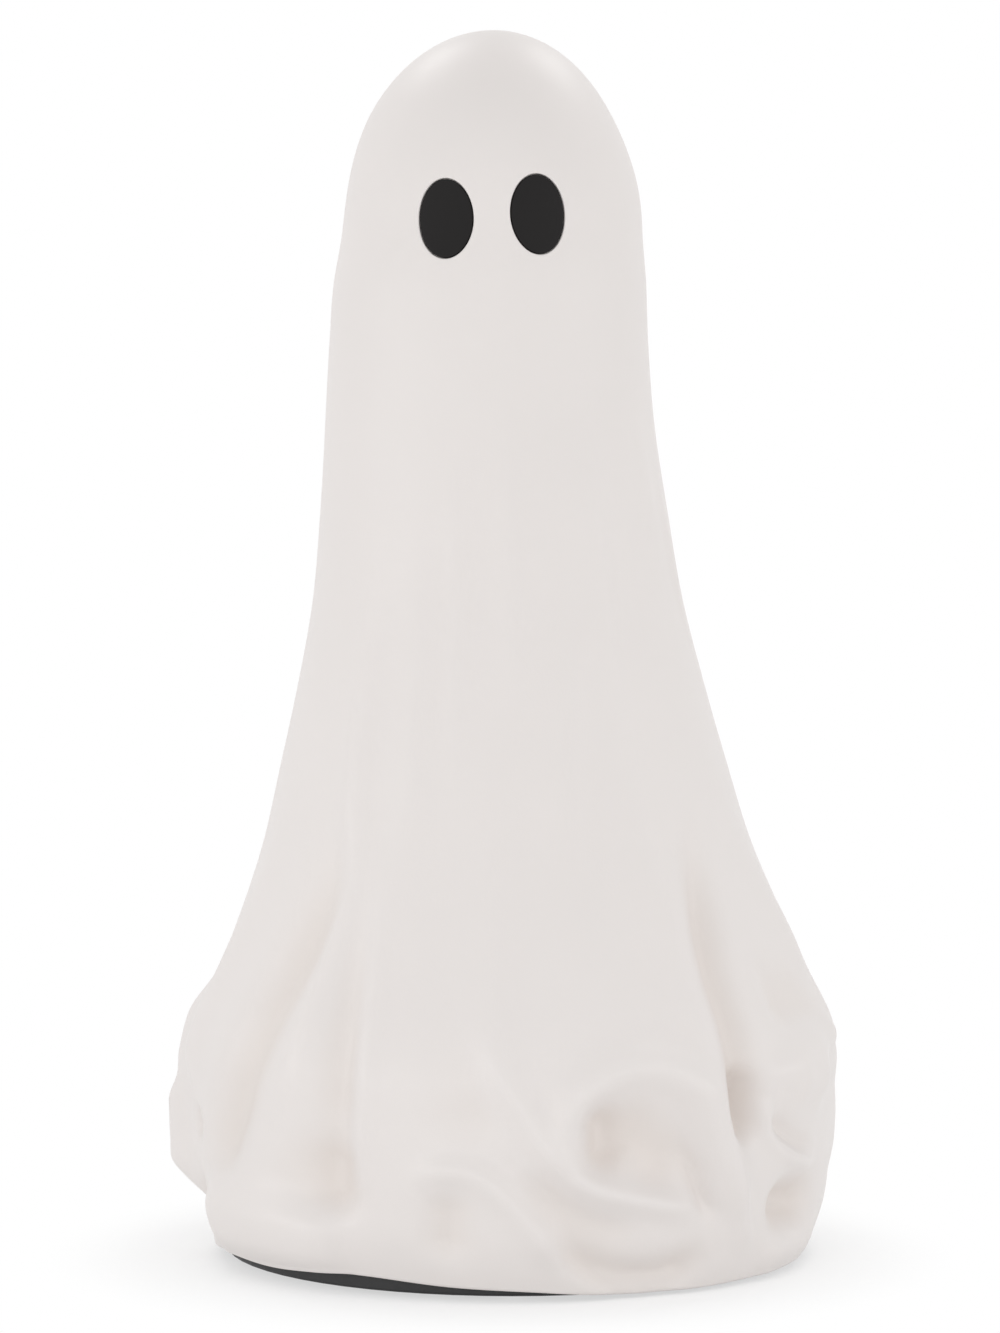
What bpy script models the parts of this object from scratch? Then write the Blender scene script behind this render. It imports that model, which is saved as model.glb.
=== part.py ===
"""A battery-lit ghost table decoration: a moulded white body that looks like a draped sheet, two black
eye inserts, and a black base that closes the body and carries the battery box, the switch and the lamp.

Run it with blender --background --python part.py, or from the Text Editor. Units are metres, +Z is up,
the ghost faces -Y, and the origin is on the table under the middle of the ghost's box.
"""

import math

import bmesh
import bpy
import numpy as np
from mathutils import Matrix, Vector

MM = 0.001

# Fits between pieces
SEAT_GAP = 0.3 * MM
SLIDING_GAP = 0.5 * MM

# Body: the moulded ghost
BODY_HEIGHT = 420 * MM
DOME_RISE = 70 * MM
BODY_WALL = 2.6 * MM
HEAD_HEIGHT = BODY_HEIGHT - DOME_RISE
HEAD_RADIUS = 51.9 * MM
HEAD_TAPER = 0.5 * MM
HEAD_TAPER_TO = 1.06
BODY_COLUMNS = 168
BODY_RINGS = (16, 28, 44)
BODY_FACES = 5000
FRONT_CROWDING = 0.34
INNER_COLUMNS = 32
INNER_RINGS = (5, 7, 6)
INNER_REACH = 6
SKIRT_TOP = 96 * MM

# How far the skirt stands out over the base, before the folds are laid on it, at shares of the way up to
# the head
SKIRT = (
    (0.0, 4.0 * MM),
    (0.025, 7.0 * MM),
    (0.045, 9.0 * MM),
    (0.08, 10.5 * MM),
    (0.12, 11.6 * MM),
    (0.16, 12.2 * MM),
    (0.20, 12.8 * MM),
    (0.24, 9.2 * MM),
    (0.28, 2.8 * MM),
)

# Radius of the flare over the skirt, the same way
FLARE = (
    (0.32, 95.0 * MM),
    (0.40, 84.3 * MM),
    (0.48, 76.8 * MM),
    (0.56, 69.8 * MM),
    (0.64, 63.8 * MM),
    (0.72, 60.2 * MM),
    (0.80, 57.2 * MM),
    (0.90, 54.9 * MM),
    (0.95, 54.0 * MM),
)

# The ghost leans to its right: how far its middle lies from the base's, at shares of the way up to the head
LEAN = (
    (0.0, 0.0),
    (0.32, 0.0),
    (0.42, -1.8 * MM),
    (0.60, -4.2 * MM),
    (0.72, -6.0 * MM),
    (0.83, -7.7 * MM),
    (0.93, -7.7 * MM),
    (1.03, -6.4 * MM),
    (1.12, -7.2 * MM),
    (1.20, -6.4 * MM),
)
BASE_X = 4 * MM

# Hem: height of the sheet's lower edge above the table, at angles from the front towards the ghost's left
HEM_LOW = 1.4 * MM
HEM_WAVE = (
    (-150, 1.2 * MM),
    (-112, 3.6 * MM),
    (-88, 1.4 * MM),
    (-64, 4.6 * MM),
    (-48, 4.2 * MM),
    (-31, 5.4 * MM),
    (-10, 3.2 * MM),
    (4, 2.0 * MM),
    (18, 0.2 * MM),
    (38, 0.0 * MM),
    (60, 0.8 * MM),
    (100, 3.4 * MM),
    (132, 0.6 * MM),
    (170, 3.8 * MM),
)
HEM_BLEND_HEIGHT = 42 * MM

# Eyes
EYE_ANGLE = 17.3
EYE_RISE = -0.35 * MM
EYE_STAGGER = 0.75 * MM
EYE_HALF_WIDTH = 9.2 * MM
EYE_HALF_HEIGHT = 13.3 * MM
EYE_TILT = 5.7
EYE_THICKNESS = 1.4 * MM
EYE_INSET = 0.2 * MM
EYE_PEG_RADIUS = 2.4 * MM
EYE_PEG_LENGTH = 5.0 * MM

# Feet
FOOT_RADIUS = 6.5 * MM
FOOT_PROUD = 1.5 * MM
FOOT_POCKET_DEPTH = 1.0 * MM
FOOT_INSET = 14 * MM
FOOT_COUNT = 4

# Base: the black bottom plate
BASE_RADIUS = 98 * MM
BASE_FLOOR = 2.5 * MM
BASE_RIM_HEIGHT = 10.2 * MM
BASE_RIM_WALL = 2.0 * MM
BASE_EDGE_ROUND = 1.0 * MM
FLANGE_THICKNESS = 3.0 * MM
FLANGE_WIDTH = 15 * MM

# Base screws, which hold the base to the body
BASE_SCREW_COUNT = 4
BASE_SCREW_INSET = 6.5 * MM
BASE_SCREW_SHANK = 1.5 * MM
BASE_SCREW_LENGTH = 20 * MM
BASE_SCREW_HEAD = 3.3 * MM
BASE_SCREW_HEAD_HEIGHT = 2.1 * MM
BASE_BOSS_RADIUS = 5.2 * MM
BODY_BOSS_RADIUS = 4.4 * MM
BODY_BOSS_HEIGHT = 14 * MM

# Battery box for three AA cells side by side
CELL_RADIUS = 7.2 * MM
CELL_LENGTH = 50.5 * MM
CELL_NUB_RADIUS = 2.7 * MM
CELL_NUB_LENGTH = 1.2 * MM
CELL_PITCH = 15.2 * MM
CELL_COUNT = 3
CONTACT_THICKNESS = 0.5 * MM
CONTACT_WIDTH = 12 * MM
CONTACT_HEIGHT = 11 * MM
CONTACT_TAB_WIDTH = 3.0 * MM
CONTACT_TAB_RISE = 3.5 * MM
SPRING_LENGTH = 7.0 * MM
SPRING_WIRE = 0.4 * MM
SPRING_RADIUS = 4.2 * MM
SPRING_TIP_RADIUS = 3.0 * MM
SPRING_TURNS = 3
SPRING_POINTS = 9
BOX_WALL = 2.0 * MM
BOX_ROOF = 2.0 * MM
BOX_HEADROOM = 0.5 * MM
BOX_SIDE_ROOM = 0.9 * MM

# Battery door
DOOR_THICKNESS = 2.2 * MM
DOOR_LEDGE = 1.4 * MM
DOOR_TAB_WIDTH = 8 * MM
DOOR_TAB_REACH = 3.0 * MM
DOOR_TAB_THICKNESS = 1.4 * MM
DOOR_TAB_OFFSET = 16 * MM
DOOR_LUG_RADIUS = 6 * MM
DOOR_LUG_REACH = 6.5 * MM
DOOR_NECK_STEP = 0.6 * MM
DOOR_LUG_ROOF = 2.0 * MM
DOOR_SCREW_HEAD = 2.8 * MM
DOOR_SCREW_HEAD_HEIGHT = 1.0 * MM
DOOR_SCREW_SHANK = 1.1 * MM
DOOR_SCREW_LENGTH = 7.0 * MM
DOOR_BOSS_RADIUS = 4.5 * MM
DOOR_BOSS_HOLE = 2.0 * MM
DOOR_GRIP_DEPTH = 0.8 * MM

# Switch, in a well on the underside
SWITCH_X = 60 * MM
SWITCH_TRAVEL = 2.5 * MM
SWITCH_CAN_WIDTH = 8 * MM
SWITCH_CAN_LENGTH = 18 * MM
SWITCH_CAN_HEIGHT = 5 * MM
SWITCH_CAN_WALL = 0.8 * MM
SWITCH_EAR_LENGTH = 29 * MM
SWITCH_EAR_THICKNESS = 0.8 * MM
SWITCH_SCREW_SPACING = 24 * MM
SWITCH_BOARD_THICKNESS = 1.2 * MM
SWITCH_TERMINAL_SPACING = 4 * MM
SWITCH_TERMINAL_RISE = 2.5 * MM
KNOB_LENGTH = 5 * MM
KNOB_WIDTH = 3.6 * MM
KNOB_REACH = 3.4 * MM
WELL_DEPTH = 4.5 * MM
WELL_WIDTH = 14 * MM
WELL_LENGTH = 20 * MM
WELL_WALL = 2.0 * MM
WELL_END = 2.6 * MM

# Lamp: post, circuit board, three light-emitting diodes and a frosted cap
POST_STANDOFF = 8 * MM
POST_STANDOFF_RADIUS = 4 * MM
POST_SCREW_SPACING = 28 * MM
POST_FLANGE_RADIUS = 19 * MM
POST_FLANGE_THICKNESS = 2.5 * MM
POST_TUBE_RADIUS = 8 * MM
POST_BORE_RADIUS = 5.5 * MM
POST_HEIGHT = 44 * MM
PLATFORM_RADIUS = 18 * MM
PLATFORM_THICKNESS = 2.5 * MM
PLATFORM_LIP = 2.0 * MM
PLATFORM_LIP_THICKNESS = 1.2 * MM
BOARD_STANDOFF = 2.5 * MM
BOARD_STANDOFF_RADIUS = 3.0 * MM
BOARD_SCREW_SPACING = 25 * MM
BOARD_RADIUS = 16 * MM
BOARD_THICKNESS = 1.6 * MM
LED_COUNT = 3
LED_CIRCLE = 8.5 * MM
LED_RADIUS = 2.5 * MM
LED_FLANGE = 0.4 * MM
LED_HEIGHT = 8.6 * MM
RESISTOR_RADIUS = 1.2 * MM
RESISTOR_LENGTH = 6.3 * MM
CAP_WALL = 1.5 * MM
CAP_HEIGHT = 34 * MM

# Small self-tapping screws, alike at the switch, the post and the board
SMALL_SCREW_HEAD = 1.9 * MM
SMALL_SCREW_HEAD_HEIGHT = 1.2 * MM
SMALL_SCREW_SHANK = 0.9 * MM
SMALL_SCREW_LENGTH = 6 * MM

WIRE_RADIUS = 0.7 * MM

# Places that follow from the sizes above
EYE_HEIGHT = HEAD_HEIGHT + EYE_RISE
FOOT_CIRCLE = BASE_RADIUS - FOOT_INSET
BASE_SCREW_CIRCLE = BASE_RADIUS - BASE_SCREW_INSET
FLOOR_BOTTOM = FOOT_PROUD
FLOOR_TOP = FLOOR_BOTTOM + BASE_FLOOR
RIM_TOP = FLOOR_BOTTOM + BASE_RIM_HEIGHT
FLANGE_BOTTOM = RIM_TOP + SEAT_GAP
FLANGE_TOP = FLANGE_BOTTOM + FLANGE_THICKNESS
RECESS_RADIUS = BASE_RADIUS + SLIDING_GAP
BODY_MIN_RADIUS = RECESS_RADIUS + 2.0 * MM
DOOR_TOP = FLOOR_TOP - SEAT_GAP
DOOR_BOTTOM = DOOR_TOP - DOOR_THICKNESS
CELL_AXIS = DOOR_TOP + SEAT_GAP + CELL_RADIUS
BOX_INNER_TOP = CELL_AXIS + CELL_RADIUS + BOX_HEADROOM
BOX_TOP = BOX_INNER_TOP + BOX_ROOF
BOX_INNER_LENGTH = CELL_LENGTH + SPRING_LENGTH + 2 * CONTACT_THICKNESS + 5 * SEAT_GAP
BOX_INNER_WIDTH = (CELL_COUNT - 1) * CELL_PITCH + 2 * (CELL_RADIUS + BOX_SIDE_ROOM)
BOX_LENGTH = BOX_INNER_LENGTH + 2 * (BOX_WALL + DOOR_LEDGE)
BOX_WIDTH = BOX_INNER_WIDTH + 2 * (BOX_WALL + DOOR_LEDGE)
DOOR_LENGTH = BOX_INNER_LENGTH + 2 * (DOOR_LEDGE - SEAT_GAP)
DOOR_WIDTH = BOX_INNER_WIDTH + 2 * (DOOR_LEDGE - SEAT_GAP)
DOOR_SCREW_Y = DOOR_WIDTH / 2 + DOOR_LUG_REACH
WELL_TOP = FLOOR_BOTTOM + WELL_DEPTH + WELL_WALL
POST_BOTTOM = BOX_TOP + POST_STANDOFF + SEAT_GAP
PLATFORM_BOTTOM = POST_BOTTOM + POST_HEIGHT
PLATFORM_TOP = PLATFORM_BOTTOM + PLATFORM_THICKNESS
BOARD_BOTTOM = PLATFORM_TOP + BOARD_STANDOFF + SEAT_GAP
BOARD_TOP = BOARD_BOTTOM + BOARD_THICKNESS

# Folds of the sheet, each (height of the fold, half width on the left and on the right of its path, fade in,
# fade out, path). A ridge stands proud and a valley is negative. The path is (degrees from the front, height
# in mm), left and right are as seen by someone who walks along it, and the fades are the lengths over which
# the fold grows and dies away.
FOLDS = (
    # Front, from the ghost's right shoulder to its left
    (2.6, 6.5, 6.5, 110, 30, ((-40, 244), (-40, 177), (-37, 136), (-38, 100), (-40, 74), (-44, 50))),
    (-3.8, 8.0, 9.0, 80, 20, ((-40, 134), (-45, 112), (-49, 94), (-52, 76), (-57, 57), (-62, 43), (-65, 30))),
    (-4.4, 8.0, 9.0, 60, 20, ((-34, 125), (-33, 103), (-32, 85), (-32, 66), (-34, 46))),
    (-6.0, 8.0, 9.0, 0, 0, ((-34, 48), (-34, 30))),
    (-5.0, 12.0, 12.0, 0, 0, ((-39, 38), (-40, 32))),
    (-2.6, 6.0, 4.0, 10, 10, ((-70, 27), (-60, 25), (-50, 24), (-42, 22), (-34, 18))),
    (2.0, 5.0, 6.0, 60, 24, ((-26, 151), (-27, 113), (-26, 82), (-26, 58), (-26, 32))),
    (1.0, 6.0, 6.0, 60, 60, ((-24, 242), (-23, 190), (-22, 148), (-20, 100))),
    (2.2, 7.5, 7.0, 130, 40, ((-4, 180), (-4, 130), (-4, 92), (-2, 74), (2, 60))),
    (4.2, 4.5, 5.0, 40, 14, ((-4, 96), (-2, 74), (2, 59), (6, 47), (12, 38), (18, 34), (25, 31), (33, 27))),
    (-3.0, 5.0, 8.0, 14, 14, ((2, 44), (7, 32), (14, 24), (22, 21))),
    (-2.4, 7.0, 12.0, 40, 12, ((-8, 84), (-7, 66), (-7, 50))),
    (3.0, 4.5, 5.5, 14, 12, ((-17, 36), (-14, 41), (-10, 43), (-6, 41), (-2, 35), (2, 26), (6, 16), (8, 8))),
    (-3.6, 5.5, 5.5, 0, 0, ((-13, 24), (-13, 16))),
    (-4.6, 7.0, 5.0, 18, 14, ((7, 24), (11, 13), (17, 7), (24, 5), (30, 7), (36, 14))),
    (6.4, 6.5, 6.5, 18, 10, ((10, 42), (9, 53), (10, 64), (14, 72), (20, 76), (26, 74), (31, 67), (34, 56), (37, 45), (40, 34), (43, 22))),
    (-6.5, 11.0, 11.0, 0, 0, ((21, 52), (26, 45))),
    (-6.0, 7.0, 7.0, 0, 0, ((17, 48), (18, 42))),
    (-3.4, 2.6, 4.0, 12, 10, ((29, 50), (32, 41), (34, 32), (37, 23))),
    (2.2, 6.0, 8.0, 60, 20, ((31, 172), (33, 142), (35, 112), (35, 94), (36, 79), (37, 64), (38, 50))),
    (-6.0, 9.0, 8.0, 90, 30, ((52, 150), (48, 131), (46, 112), (45, 98), (44, 84), (44, 72), (45, 62), (47, 53), (51, 45))),
    (-8.0, 7.0, 7.0, 0, 0, ((45, 66), (45, 56))),
    (2.4, 3.4, 3.4, 10, 10, ((47, 62), (48, 53), (51, 45), (57, 39), (66, 33))),
    (4.0, 12.0, 3.0, 8, 12, ((76, 76), (64, 76), (56, 75), (51, 71), (49, 64))),
    (4.4, 10.0, 10.0, 0, 0, ((58, 60), (66, 59))),
    (-4.6, 12.0, 5.0, 10, 10, ((50, 87), (58, 88), (68, 88), (80, 88))),
    (-3.0, 3.6, 3.6, 8, 8, ((49, 56), (52, 50), (57, 44), (64, 39))),
    (-8.0, 8.5, 8.5, 0, 0, ((56, 22), (63, 20))),
    (3.0, 8.0, 8.0, 0, 0, ((52, 36), (62, 35))),
    (2.6, 3.4, 5.0, 10, 12, ((40, 36), (42, 28), (45, 20), (50, 12))),
    (7.0, 11.0, 8.0, 14, 12, ((-71, 11), (-62, 10), (-50, 9), (-40, 8), (-30, 6))),
    (1.2, 6.0, 6.0, 30, 30, ((22, 222), (15, 170), (12, 126))),
    (1.8, 5.0, 12.0, 60, 60, ((34, 289), (33, 236), (32, 203), (31, 172))),
    (0.9, 4.0, 4.0, 30, 30, ((-12, 270), (-12, 216), (-12, 158))),
    (0.9, 4.5, 4.5, 30, 30, ((5, 290), (4, 240), (4, 190))),
    (1.0, 5.0, 5.0, 30, 30, ((62, 284), (61, 237))),
    (1.2, 4.0, 4.0, 30, 30, ((72, 268), (77, 206))),
    # The ghost's right side, seen at the left edge of a front view
    (3.4, 11.0, 11.0, 60, 20, ((-66, 150), (-72, 105), (-77, 72), (-80, 56))),
    (9.0, 10.0, 10.0, 0, 0, ((-91, 50), (-90, 40), (-89, 32))),
    (-3.6, 3.6, 3.6, 5, 5, ((-76, 50), (-79, 38))),
    (-5.0, 7.0, 7.0, 8, 8, ((-72, 24), (-84, 13), (-96, 13))),
    (4.5, 11.0, 11.0, 0, 0, ((-92, 80), (-91, 68))),
    # The ghost's left side
    (3.2, 10.0, 10.0, 60, 20, ((68, 160), (73, 112), (77, 84), (80, 72))),
    (1.2, 9.0, 9.0, 14, 12, ((86, 60), (87, 44), (84, 28))),
    (-3.6, 6.0, 6.0, 60, 14, ((98, 150), (100, 100), (99, 60), (94, 34))),
    # Back
    (3.6, 9.0, 9.0, 90, 22, ((112, 220), (114, 150), (113, 95), (110, 48), (108, 24))),
    (-4.6, 7.5, 7.5, 60, 10, ((126, 150), (128, 100), (130, 60), (134, 34))),
    (3.8, 9.5, 9.5, 90, 20, ((140, 230), (142, 150), (144, 96), (148, 56), (150, 30))),
    (-3.8, 7.0, 7.0, 60, 12, ((156, 150), (158, 100), (161, 58))),
    (3.6, 9.0, 9.0, 90, 22, ((170, 240), (171, 160), (174, 100), (172, 52), (168, 22))),
    (3.2, 5.0, 5.0, 8, 8, ((156, 34), (163, 44), (172, 45), (180, 34), (186, 18))),
    (-4.4, 7.5, 7.5, 60, 12, ((188, 150), (190, 100), (193, 62), (198, 38))),
    (3.8, 9.5, 9.5, 90, 20, ((204, 235), (206, 150), (208, 96), (208, 52), (212, 28))),
    (-4.0, 7.0, 7.0, 60, 12, ((221, 150), (222, 100), (224, 58), (230, 34))),
    (3.6, 9.0, 9.0, 90, 22, ((237, 225), (238, 150), (239, 95), (243, 52), (246, 26))),
    (-4.0, 6.5, 6.5, 60, 12, ((254, 150), (254, 100), (256, 62), (258, 40))),
)


def clear_scene():
    """Remove what the scene holds, so that only the ghost is left."""
    for obj in list(bpy.data.objects):
        bpy.data.objects.remove(obj)


def new_collection(name):
    collection = bpy.data.collections.new(name)
    bpy.context.scene.collection.children.link(collection)
    return collection


def new_material(name, colour, roughness, metallic=0.0):
    """A Principled BSDF with one plain finish."""
    made = bpy.data.materials.new(name)
    made.use_nodes = True
    made.diffuse_color = (*colour, 1.0)
    shader = made.node_tree.nodes["Principled BSDF"]
    shader.inputs["Base Color"].default_value = (*colour, 1.0)
    shader.inputs["Roughness"].default_value = roughness
    shader.inputs["Metallic"].default_value = metallic
    return made


clear_scene()
PARTS = new_collection("ghost_figure")
CUTTERS = new_collection("cutters")
WHITE_PLASTIC = new_material("white_body", (0.83, 0.79, 0.77), 0.42)
BLACK_EYE = new_material("black_eye", (0.006, 0.006, 0.006), 0.55)
BLACK_PLASTIC = new_material("black_base", (0.012, 0.012, 0.013), 0.5)
FOOT_RUBBER = new_material("foot_rubber", (0.03, 0.03, 0.03), 0.9)
STEEL = new_material("steel", (0.62, 0.62, 0.63), 0.32, 1.0)
CELL_JACKET = new_material("cell_jacket", (0.10, 0.11, 0.13), 0.35)
LAMP_PLASTIC = new_material("lamp_plastic", (0.80, 0.80, 0.78), 0.5)
CAP_PLASTIC = new_material("frosted_cap", (0.86, 0.86, 0.84), 0.6)
BOARD_GREEN = new_material("board_green", (0.03, 0.17, 0.07), 0.4)
BOARD_BROWN = new_material("board_brown", (0.32, 0.19, 0.10), 0.6)
LED_RESIN = new_material("led_resin", (0.90, 0.88, 0.78), 0.15)
RESISTOR_BODY = new_material("resistor_body", (0.62, 0.47, 0.30), 0.5)
RED_WIRE = new_material("red_wire", (0.55, 0.03, 0.02), 0.45)
BLACK_WIRE = new_material("black_wire", (0.02, 0.02, 0.02), 0.45)


def add_object(name, mesh, material=None, collection=None):
    obj = bpy.data.objects.new(name, mesh)
    (collection or PARTS).objects.link(obj)
    if material and not mesh.materials:
        mesh.materials.append(material)
    return obj


def mesh_from(name, bm):
    mesh = bpy.data.meshes.new(name)
    bm.to_mesh(mesh)
    bm.free()
    return mesh


def evaluated_mesh(obj):
    """The object's mesh with its modifiers applied, in the object's own space."""
    bpy.context.view_layer.update()
    graph = bpy.context.evaluated_depsgraph_get()
    return bpy.data.meshes.new_from_object(obj.evaluated_get(graph))


def hide_helper(obj):
    """Mark a cutter or a piece that a union takes in, which is not a part by itself."""
    obj.hide_render = True
    obj.display_type = "WIRE"
    return obj


def block_mesh(name, low, high, edge_round=0.0):
    """A box between two corners, with its edges rounded if asked."""
    bm = bmesh.new()
    bmesh.ops.create_cube(bm, size=1.0)
    size = Vector(high) - Vector(low)
    bmesh.ops.scale(bm, vec=size, verts=bm.verts)
    bmesh.ops.translate(bm, vec=(Vector(high) + Vector(low)) / 2, verts=bm.verts)
    if edge_round:
        bmesh.ops.bevel(bm, geom=bm.edges[:], offset=edge_round, segments=2, profile=0.5, affect="EDGES")
    return mesh_from(name, bm)


def rod_mesh(name, radius, bottom, top, segments=24, centre=(0.0, 0.0), top_radius=None):
    """An upright cylinder, or a cone if the top has its own radius."""
    bm = bmesh.new()
    bmesh.ops.create_cone(
        bm,
        cap_ends=True,
        segments=segments,
        radius1=radius,
        radius2=radius if top_radius is None else top_radius,
        depth=top - bottom,
    )
    bmesh.ops.translate(bm, vec=(centre[0], centre[1], (top + bottom) / 2), verts=bm.verts)
    return mesh_from(name, bm)


def turned_mesh(name, profile, steps=24, closed=False):
    """A solid of revolution. The profile is (radius, height) points that run down the outer side."""
    bm = bmesh.new()
    points = [bm.verts.new((radius, 0.0, height)) for radius, height in profile]
    for first, second in zip(points, points[1:]):
        bm.edges.new((first, second))
    if closed:
        bm.edges.new((points[-1], points[0]))
    guide = add_object(name + "_profile", mesh_from(name, bm), collection=CUTTERS)
    screw = guide.modifiers.new("turn", "SCREW")
    screw.steps = screw.render_steps = steps
    screw.use_merge_vertices = True
    screw.merge_threshold = 1e-6
    screw.use_smooth_shade = False
    mesh = evaluated_mesh(guide)
    mesh.name = name
    bpy.data.objects.remove(guide)
    return mesh


def boolean(obj, mesh, operation="DIFFERENCE", matrix=None):
    """Cut a mesh from the object, join it on, or keep what they share."""
    helper = hide_helper(add_object(f"{obj.name}_{mesh.name}", mesh, collection=CUTTERS))
    if matrix is not None:
        helper.matrix_world = matrix
    modifier = obj.modifiers.new(mesh.name, "BOOLEAN")
    modifier.operation = operation
    modifier.object = helper
    modifier.solver = "EXACT"
    return obj


def shade(obj, angle=35):
    obj.data.shade_smooth()
    obj.data.set_sharp_from_angle(angle=math.radians(angle))
    return obj


def around(count, radius, first_degrees=0.0):
    """Places evenly spaced on a circle, the first at an angle from the front."""
    step = 2 * math.pi / count
    angles = [math.radians(first_degrees) + k * step for k in range(count)]
    return [(radius * math.sin(a), -radius * math.cos(a)) for a in angles]


def smooth_table(table, values, period=None):
    """Read a table of (place, value) stations along a smooth curve through them."""
    places = np.array([p for p, _ in table], float)
    heights = np.array([v for _, v in table], float)
    if period:
        places = np.concatenate([places[-2:] - period, places, places[:2] + period])
        heights = np.concatenate([heights[-2:], heights, heights[:2]])
        values = (np.asarray(values) - places[2]) % period + places[2]
    slopes = np.gradient(heights, places)
    left = np.clip(np.searchsorted(places, values, side="right") - 1, 0, len(places) - 2)
    span = places[left + 1] - places[left]
    t = np.clip((values - places[left]) / span, 0.0, 1.0)
    start, end = heights[left], heights[left + 1]
    return (
        (2 * t**3 - 3 * t**2 + 1) * start
        + (t**3 - 2 * t**2 + t) * span * slopes[left]
        + (3 * t**2 - 2 * t**3) * end
        + (t**3 - t**2) * span * slopes[left + 1]
    )


def smoothstep(values):
    t = np.clip(values, 0.0, 1.0)
    return t * t * (3 - 2 * t)


def plain_radius(height):
    """Radius of the body at a height, before the folds: a flare below the head, and a dome above."""
    skirt = [(share * HEAD_HEIGHT, BASE_RADIUS + reach) for share, reach in SKIRT]
    flare = [(share * HEAD_HEIGHT, radius) for share, radius in FLARE]
    crown = HEAD_RADIUS - HEAD_TAPER
    head = [(HEAD_HEIGHT, HEAD_RADIUS), (HEAD_TAPER_TO * HEAD_HEIGHT, crown), (BODY_HEIGHT, crown)]
    flank = smooth_table([*skirt, *flare, *head], height)
    rise = np.clip((height - HEAD_HEIGHT) / DOME_RISE, 0.0, 1.0)
    return flank * np.sqrt(1 - rise**2)


def lean(height):
    """Sideways place of the body's middle at a height."""
    return smooth_table([(share * HEAD_HEIGHT, x) for share, x in LEAN], height)


def smooth_path(path, steps=4):
    """A fold's path with points added along a smooth curve: angles, heights and the length reached."""
    turns = np.array([a for a, _ in path], float)
    heights = np.array([h for _, h in path], float) * MM
    places = np.arange(len(path))
    dense = np.linspace(0, len(path) - 1, (len(path) - 1) * steps + 1)
    turns = smooth_table(list(zip(places, turns)), dense)
    heights = smooth_table(list(zip(places, heights)), dense)
    radii = plain_radius(heights)
    lengths = np.hypot(np.radians(np.diff(turns)) * (radii[1:] + radii[:-1]) / 2, np.diff(heights))
    return turns, heights, np.concatenate([[0.0], np.cumsum(lengths)])


def fade(along, length):
    """How far a fold has grown at a distance from its end."""
    return smoothstep(0.23 + 0.77 * along / length) if length else 1.0


def fold_relief(angle, height, radius):
    """How far the folds push the surface out, at angles in degrees and heights in metres."""
    relief = np.zeros_like(angle)
    for rise, left_width, right_width, fade_in, fade_out, path in FOLDS:
        turns, heights, reached = smooth_path(path)
        middle = (turns.min() + turns.max()) / 2
        turn = (angle - middle + 180) % 360 + middle - 180
        nearest = np.full_like(angle, np.inf)
        along = np.zeros_like(angle)
        side = np.zeros_like(angle)
        for k, length in enumerate(np.diff(reached)):
            across = np.radians(turn - turns[k]) * radius
            up = height - heights[k]
            run = np.radians(turns[k + 1] - turns[k]) * radius
            climb = heights[k + 1] - heights[k]
            t = np.clip((across * run + up * climb) / (run**2 + climb**2), 0.0, 1.0)
            distance = np.hypot(across - t * run, up - t * climb)
            closer = distance < nearest
            nearest = np.where(closer, distance, nearest)
            along = np.where(closer, reached[k] + t * length, along)
            turned = (run * (up - t * climb) - climb * (across - t * run)) / np.hypot(run, climb)
            side = np.where(closer, turned / np.maximum(distance, 1e-6), side)
        width = (right_width + (left_width - right_width) * (1 + side) / 2) * MM
        ends = fade(along, fade_in * MM) * fade(reached[-1] - along, fade_out * MM)
        relief += rise * MM * np.exp(-((nearest / width) ** 2)) * ends
    return relief


def body_radius(angle, height):
    """Radius of the finished surface. Low down it stays clear of the recess that the base fits in."""
    plain = plain_radius(height)
    radius = plain + fold_relief(angle, height, plain)
    floor = np.where(height < FLANGE_TOP + BODY_WALL, BODY_MIN_RADIUS, 0.0)
    return np.maximum(radius, floor)


def hem_height(angle):
    return HEM_LOW + smooth_table(HEM_WAVE, angle, period=360)


def ring_heights(rings, bottom):
    """Heights of the rings of points from near the crown to the bottom, closer where the form is finer.

    The three counts are for the dome, the flank under it and the skirt.
    """
    dome_rings, flank_rings, skirt_rings = rings
    dome = [HEAD_HEIGHT + DOME_RISE * math.cos(math.pi / 2 * k / dome_rings) for k in range(1, dome_rings)]
    flank = list(np.linspace(HEAD_HEIGHT, SKIRT_TOP, flank_rings, endpoint=False))
    skirt = list(np.linspace(SKIRT_TOP, bottom, skirt_rings))
    return dome + flank + skirt


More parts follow.
